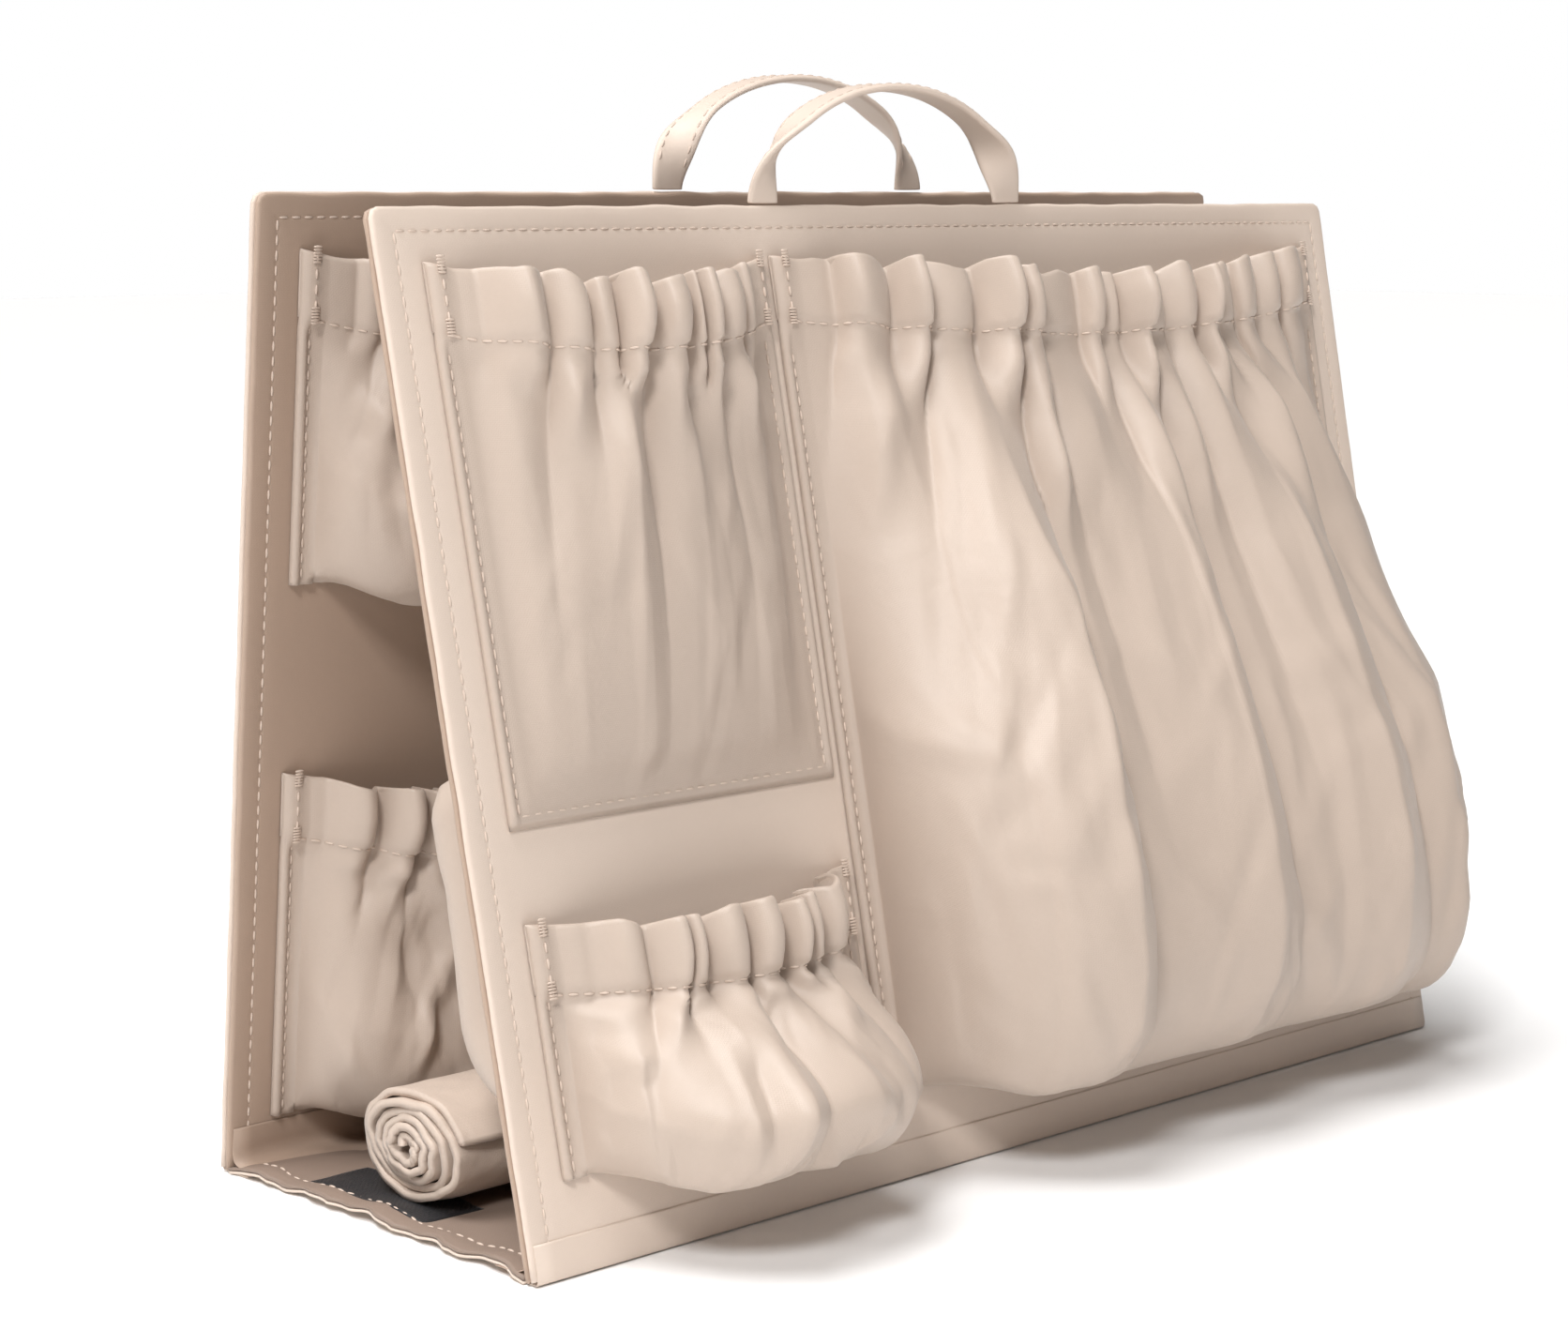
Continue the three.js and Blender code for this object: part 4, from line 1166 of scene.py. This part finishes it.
MAT_WIDTH = 290
MAT_LENGTH = 370
MAT_THICKNESS = 1.9
MAT_MIDDLE = -6.0
CRUMPLED_END = 18.0
MAT_TURNS = 5.4
STEPS_PER_TURN = 44
ROLL_CORE = 2.4
ROLL_RADIUS = 19.4
ROLL_HEIGHT = 2.9 + 13.2
ROLL_FLATNESS = 0.68


def rolled_mat():
    """Wound loosely at the core and tighter outside; each turn's end sticks out by its own
    amount, and the turns lie flattened on the base."""
    steps = int(MAT_TURNS * STEPS_PER_TURN)
    first, last = MAT_MIDDLE - MAT_WIDTH / 2, MAT_MIDDLE + MAT_WIDTH / 2
    plain = CRUMPLED_END + 6
    xs = np.concatenate([
        np.linspace(first, first + CRUMPLED_END, 13),
        np.linspace(first + plain, last - plain, 24),
        np.linspace(last - CRUMPLED_END, last, 13),
    ])

    def spot(x, step):
        turn = step / STEPS_PER_TURN
        left = MAT_TURNS - turn
        angle = 2 * math.pi * turn + 0.4
        cosine, sine = math.cos(angle), math.sin(angle)
        near_end = float(smooth(118, 146, abs(x - MAT_MIDDLE)))
        ripple = noise.noise(Vector((cosine * 1.6 + turn * 0.35, sine * 1.6, x * 0.02)))
        crumple = noise.noise(Vector((cosine * 4 + turn, sine * 4, x * 0.11))) * near_end
        radius = ROLL_CORE + (ROLL_RADIUS - ROLL_CORE) * (turn / MAT_TURNS) ** 0.94
        radius += 0.9 * ripple + 1.1 * crumple
        uneven = 2.4 * noise.noise(Vector((turn * 2.3, np.sign(x), 2.0)))
        spill = near_end * (uneven + 0.5 * left - 1.0)
        height = max(ROLL_HEIGHT + radius * sine * ROLL_FLATNESS, 3.2 + left * 0.9)
        return x + np.sign(x) * spill, radius * cosine, height

    run = np.linspace(0, MAT_LENGTH, steps + 1)
    points = surface(xs, range(steps + 1), spot)
    sheet, _ = grid_sheet(points, xs * MM, run * MM, UPWARD)
    piece = add_piece("rolled_mat_cloth", sheet, MAT_CLOTH, "mat", ["rolled_mat"])
    refine(piece)
    thicken(piece, MAT_THICKNESS, offset=0.0)


rolled_mat()


# Solids that stay as they are: boards and sewn-in strap ends
for name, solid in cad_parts.items():
    if name.endswith(("_board", "_tab")):
        solid.data.materials.clear()
        solid.data.materials.append(STIFFENER if name.endswith("_board") else PANEL_CLOTH)


# Floor, light and camera

# The photo in pixels, and the width of the sensor in millimetres
PHOTO_WIDTH = 1672
PHOTO_FOCAL_LENGTH = 3493
SENSOR_WIDTH = 36


def white_floor():
    grid = bmesh.new()
    bmesh.ops.create_grid(grid, x_segments=1, y_segments=1, size=6.0)
    mesh = bpy.data.meshes.new("floor")
    grid.to_mesh(mesh)
    grid.free()
    floor = bpy.data.objects.new("floor", mesh)
    scene.collection.objects.link(floor)
    floor.location.z = -0.0002
    white = bpy.data.materials.new("white_floor")
    white.use_nodes = True
    shader = white.node_tree.nodes["Principled BSDF"].inputs
    shader["Base Color"].default_value = (0.93, 0.93, 0.93, 1)
    shader["Roughness"].default_value = 0.9
    shader["Specular IOR Level"].default_value = 0.1
    mesh.materials.append(white)


def studio_world():
    """White behind the part, and a dim warm light on it that comes mostly from above."""
    world = bpy.data.worlds.new("studio")
    scene.world = world
    world.use_nodes = True
    tree = world.node_tree
    tree.nodes.clear()
    where = node(tree, "ShaderNodeTexCoord").outputs["Generated"]
    split = node(tree, "ShaderNodeSeparateXYZ", {0: where}).outputs
    height = maths(tree, "MAXIMUM", split[2], 0.0)
    strength = maths(tree, "ADD", maths(tree, "MULTIPLY", height, 0.14), 0.03)
    soft, bright = (
        node(tree, "ShaderNodeBackground", {"Color": color, "Strength": power}).outputs[0]
        for color, power in (((1, 0.9, 0.82, 1), strength), ((1, 1, 1, 1), 1.0))
    )
    seen = node(tree, "ShaderNodeLightPath").outputs["Is Camera Ray"]
    choose = node(tree, "ShaderNodeMixShader", {0: seen, 1: soft, 2: bright})
    node(tree, "ShaderNodeOutputWorld", {0: choose.outputs[0]})


def hung(name, data, way):
    """A light or camera in the scene that looks along way."""
    holder = bpy.data.objects.new(name, data)
    scene.collection.objects.link(holder)
    holder.rotation_euler = way.to_track_quat("-Z", "Y").to_euler()
    return holder


def softbox(name, where, aim, size, power):
    lamp = bpy.data.lights.new(name, "AREA")
    lamp.shape = "RECTANGLE"
    lamp.size = lamp.size_y = size
    lamp.energy = power
    hung(name, lamp, Vector(aim) - Vector(where)).location = where


def overhead(power, spread, way):
    sky = bpy.data.lights.new("overhead", "SUN")
    sky.energy = power
    sky.angle = math.radians(spread)
    hung("overhead", sky, Vector(way))


def photo_camera(where, aim):
    """The camera found from the corners of the panels."""
    lens = bpy.data.cameras.new("photo")
    lens.lens = PHOTO_FOCAL_LENGTH / PHOTO_WIDTH * SENSOR_WIDTH
    lens.sensor_width = SENSOR_WIDTH
    lens.clip_start = 0.01
    camera = hung("photo", lens, Vector(aim) - Vector(where))
    camera.location = where
    scene.camera = camera


white_floor()
studio_world()
softbox("key", (-1.3, -0.85, 1.4), (0, 0, 0.12), 0.4, 21.5)
softbox("fill", (-0.6, -1.6, 0.6), (0, 0, 0.1), 0.6, 2.4)
overhead(3.3, 40, (0.3, -0.16, -1))
photo_camera((-0.5934, -0.5898, 0.2339), (-0.0315, 0.0, 0.1168))
scene.view_settings.view_transform = "Standard"
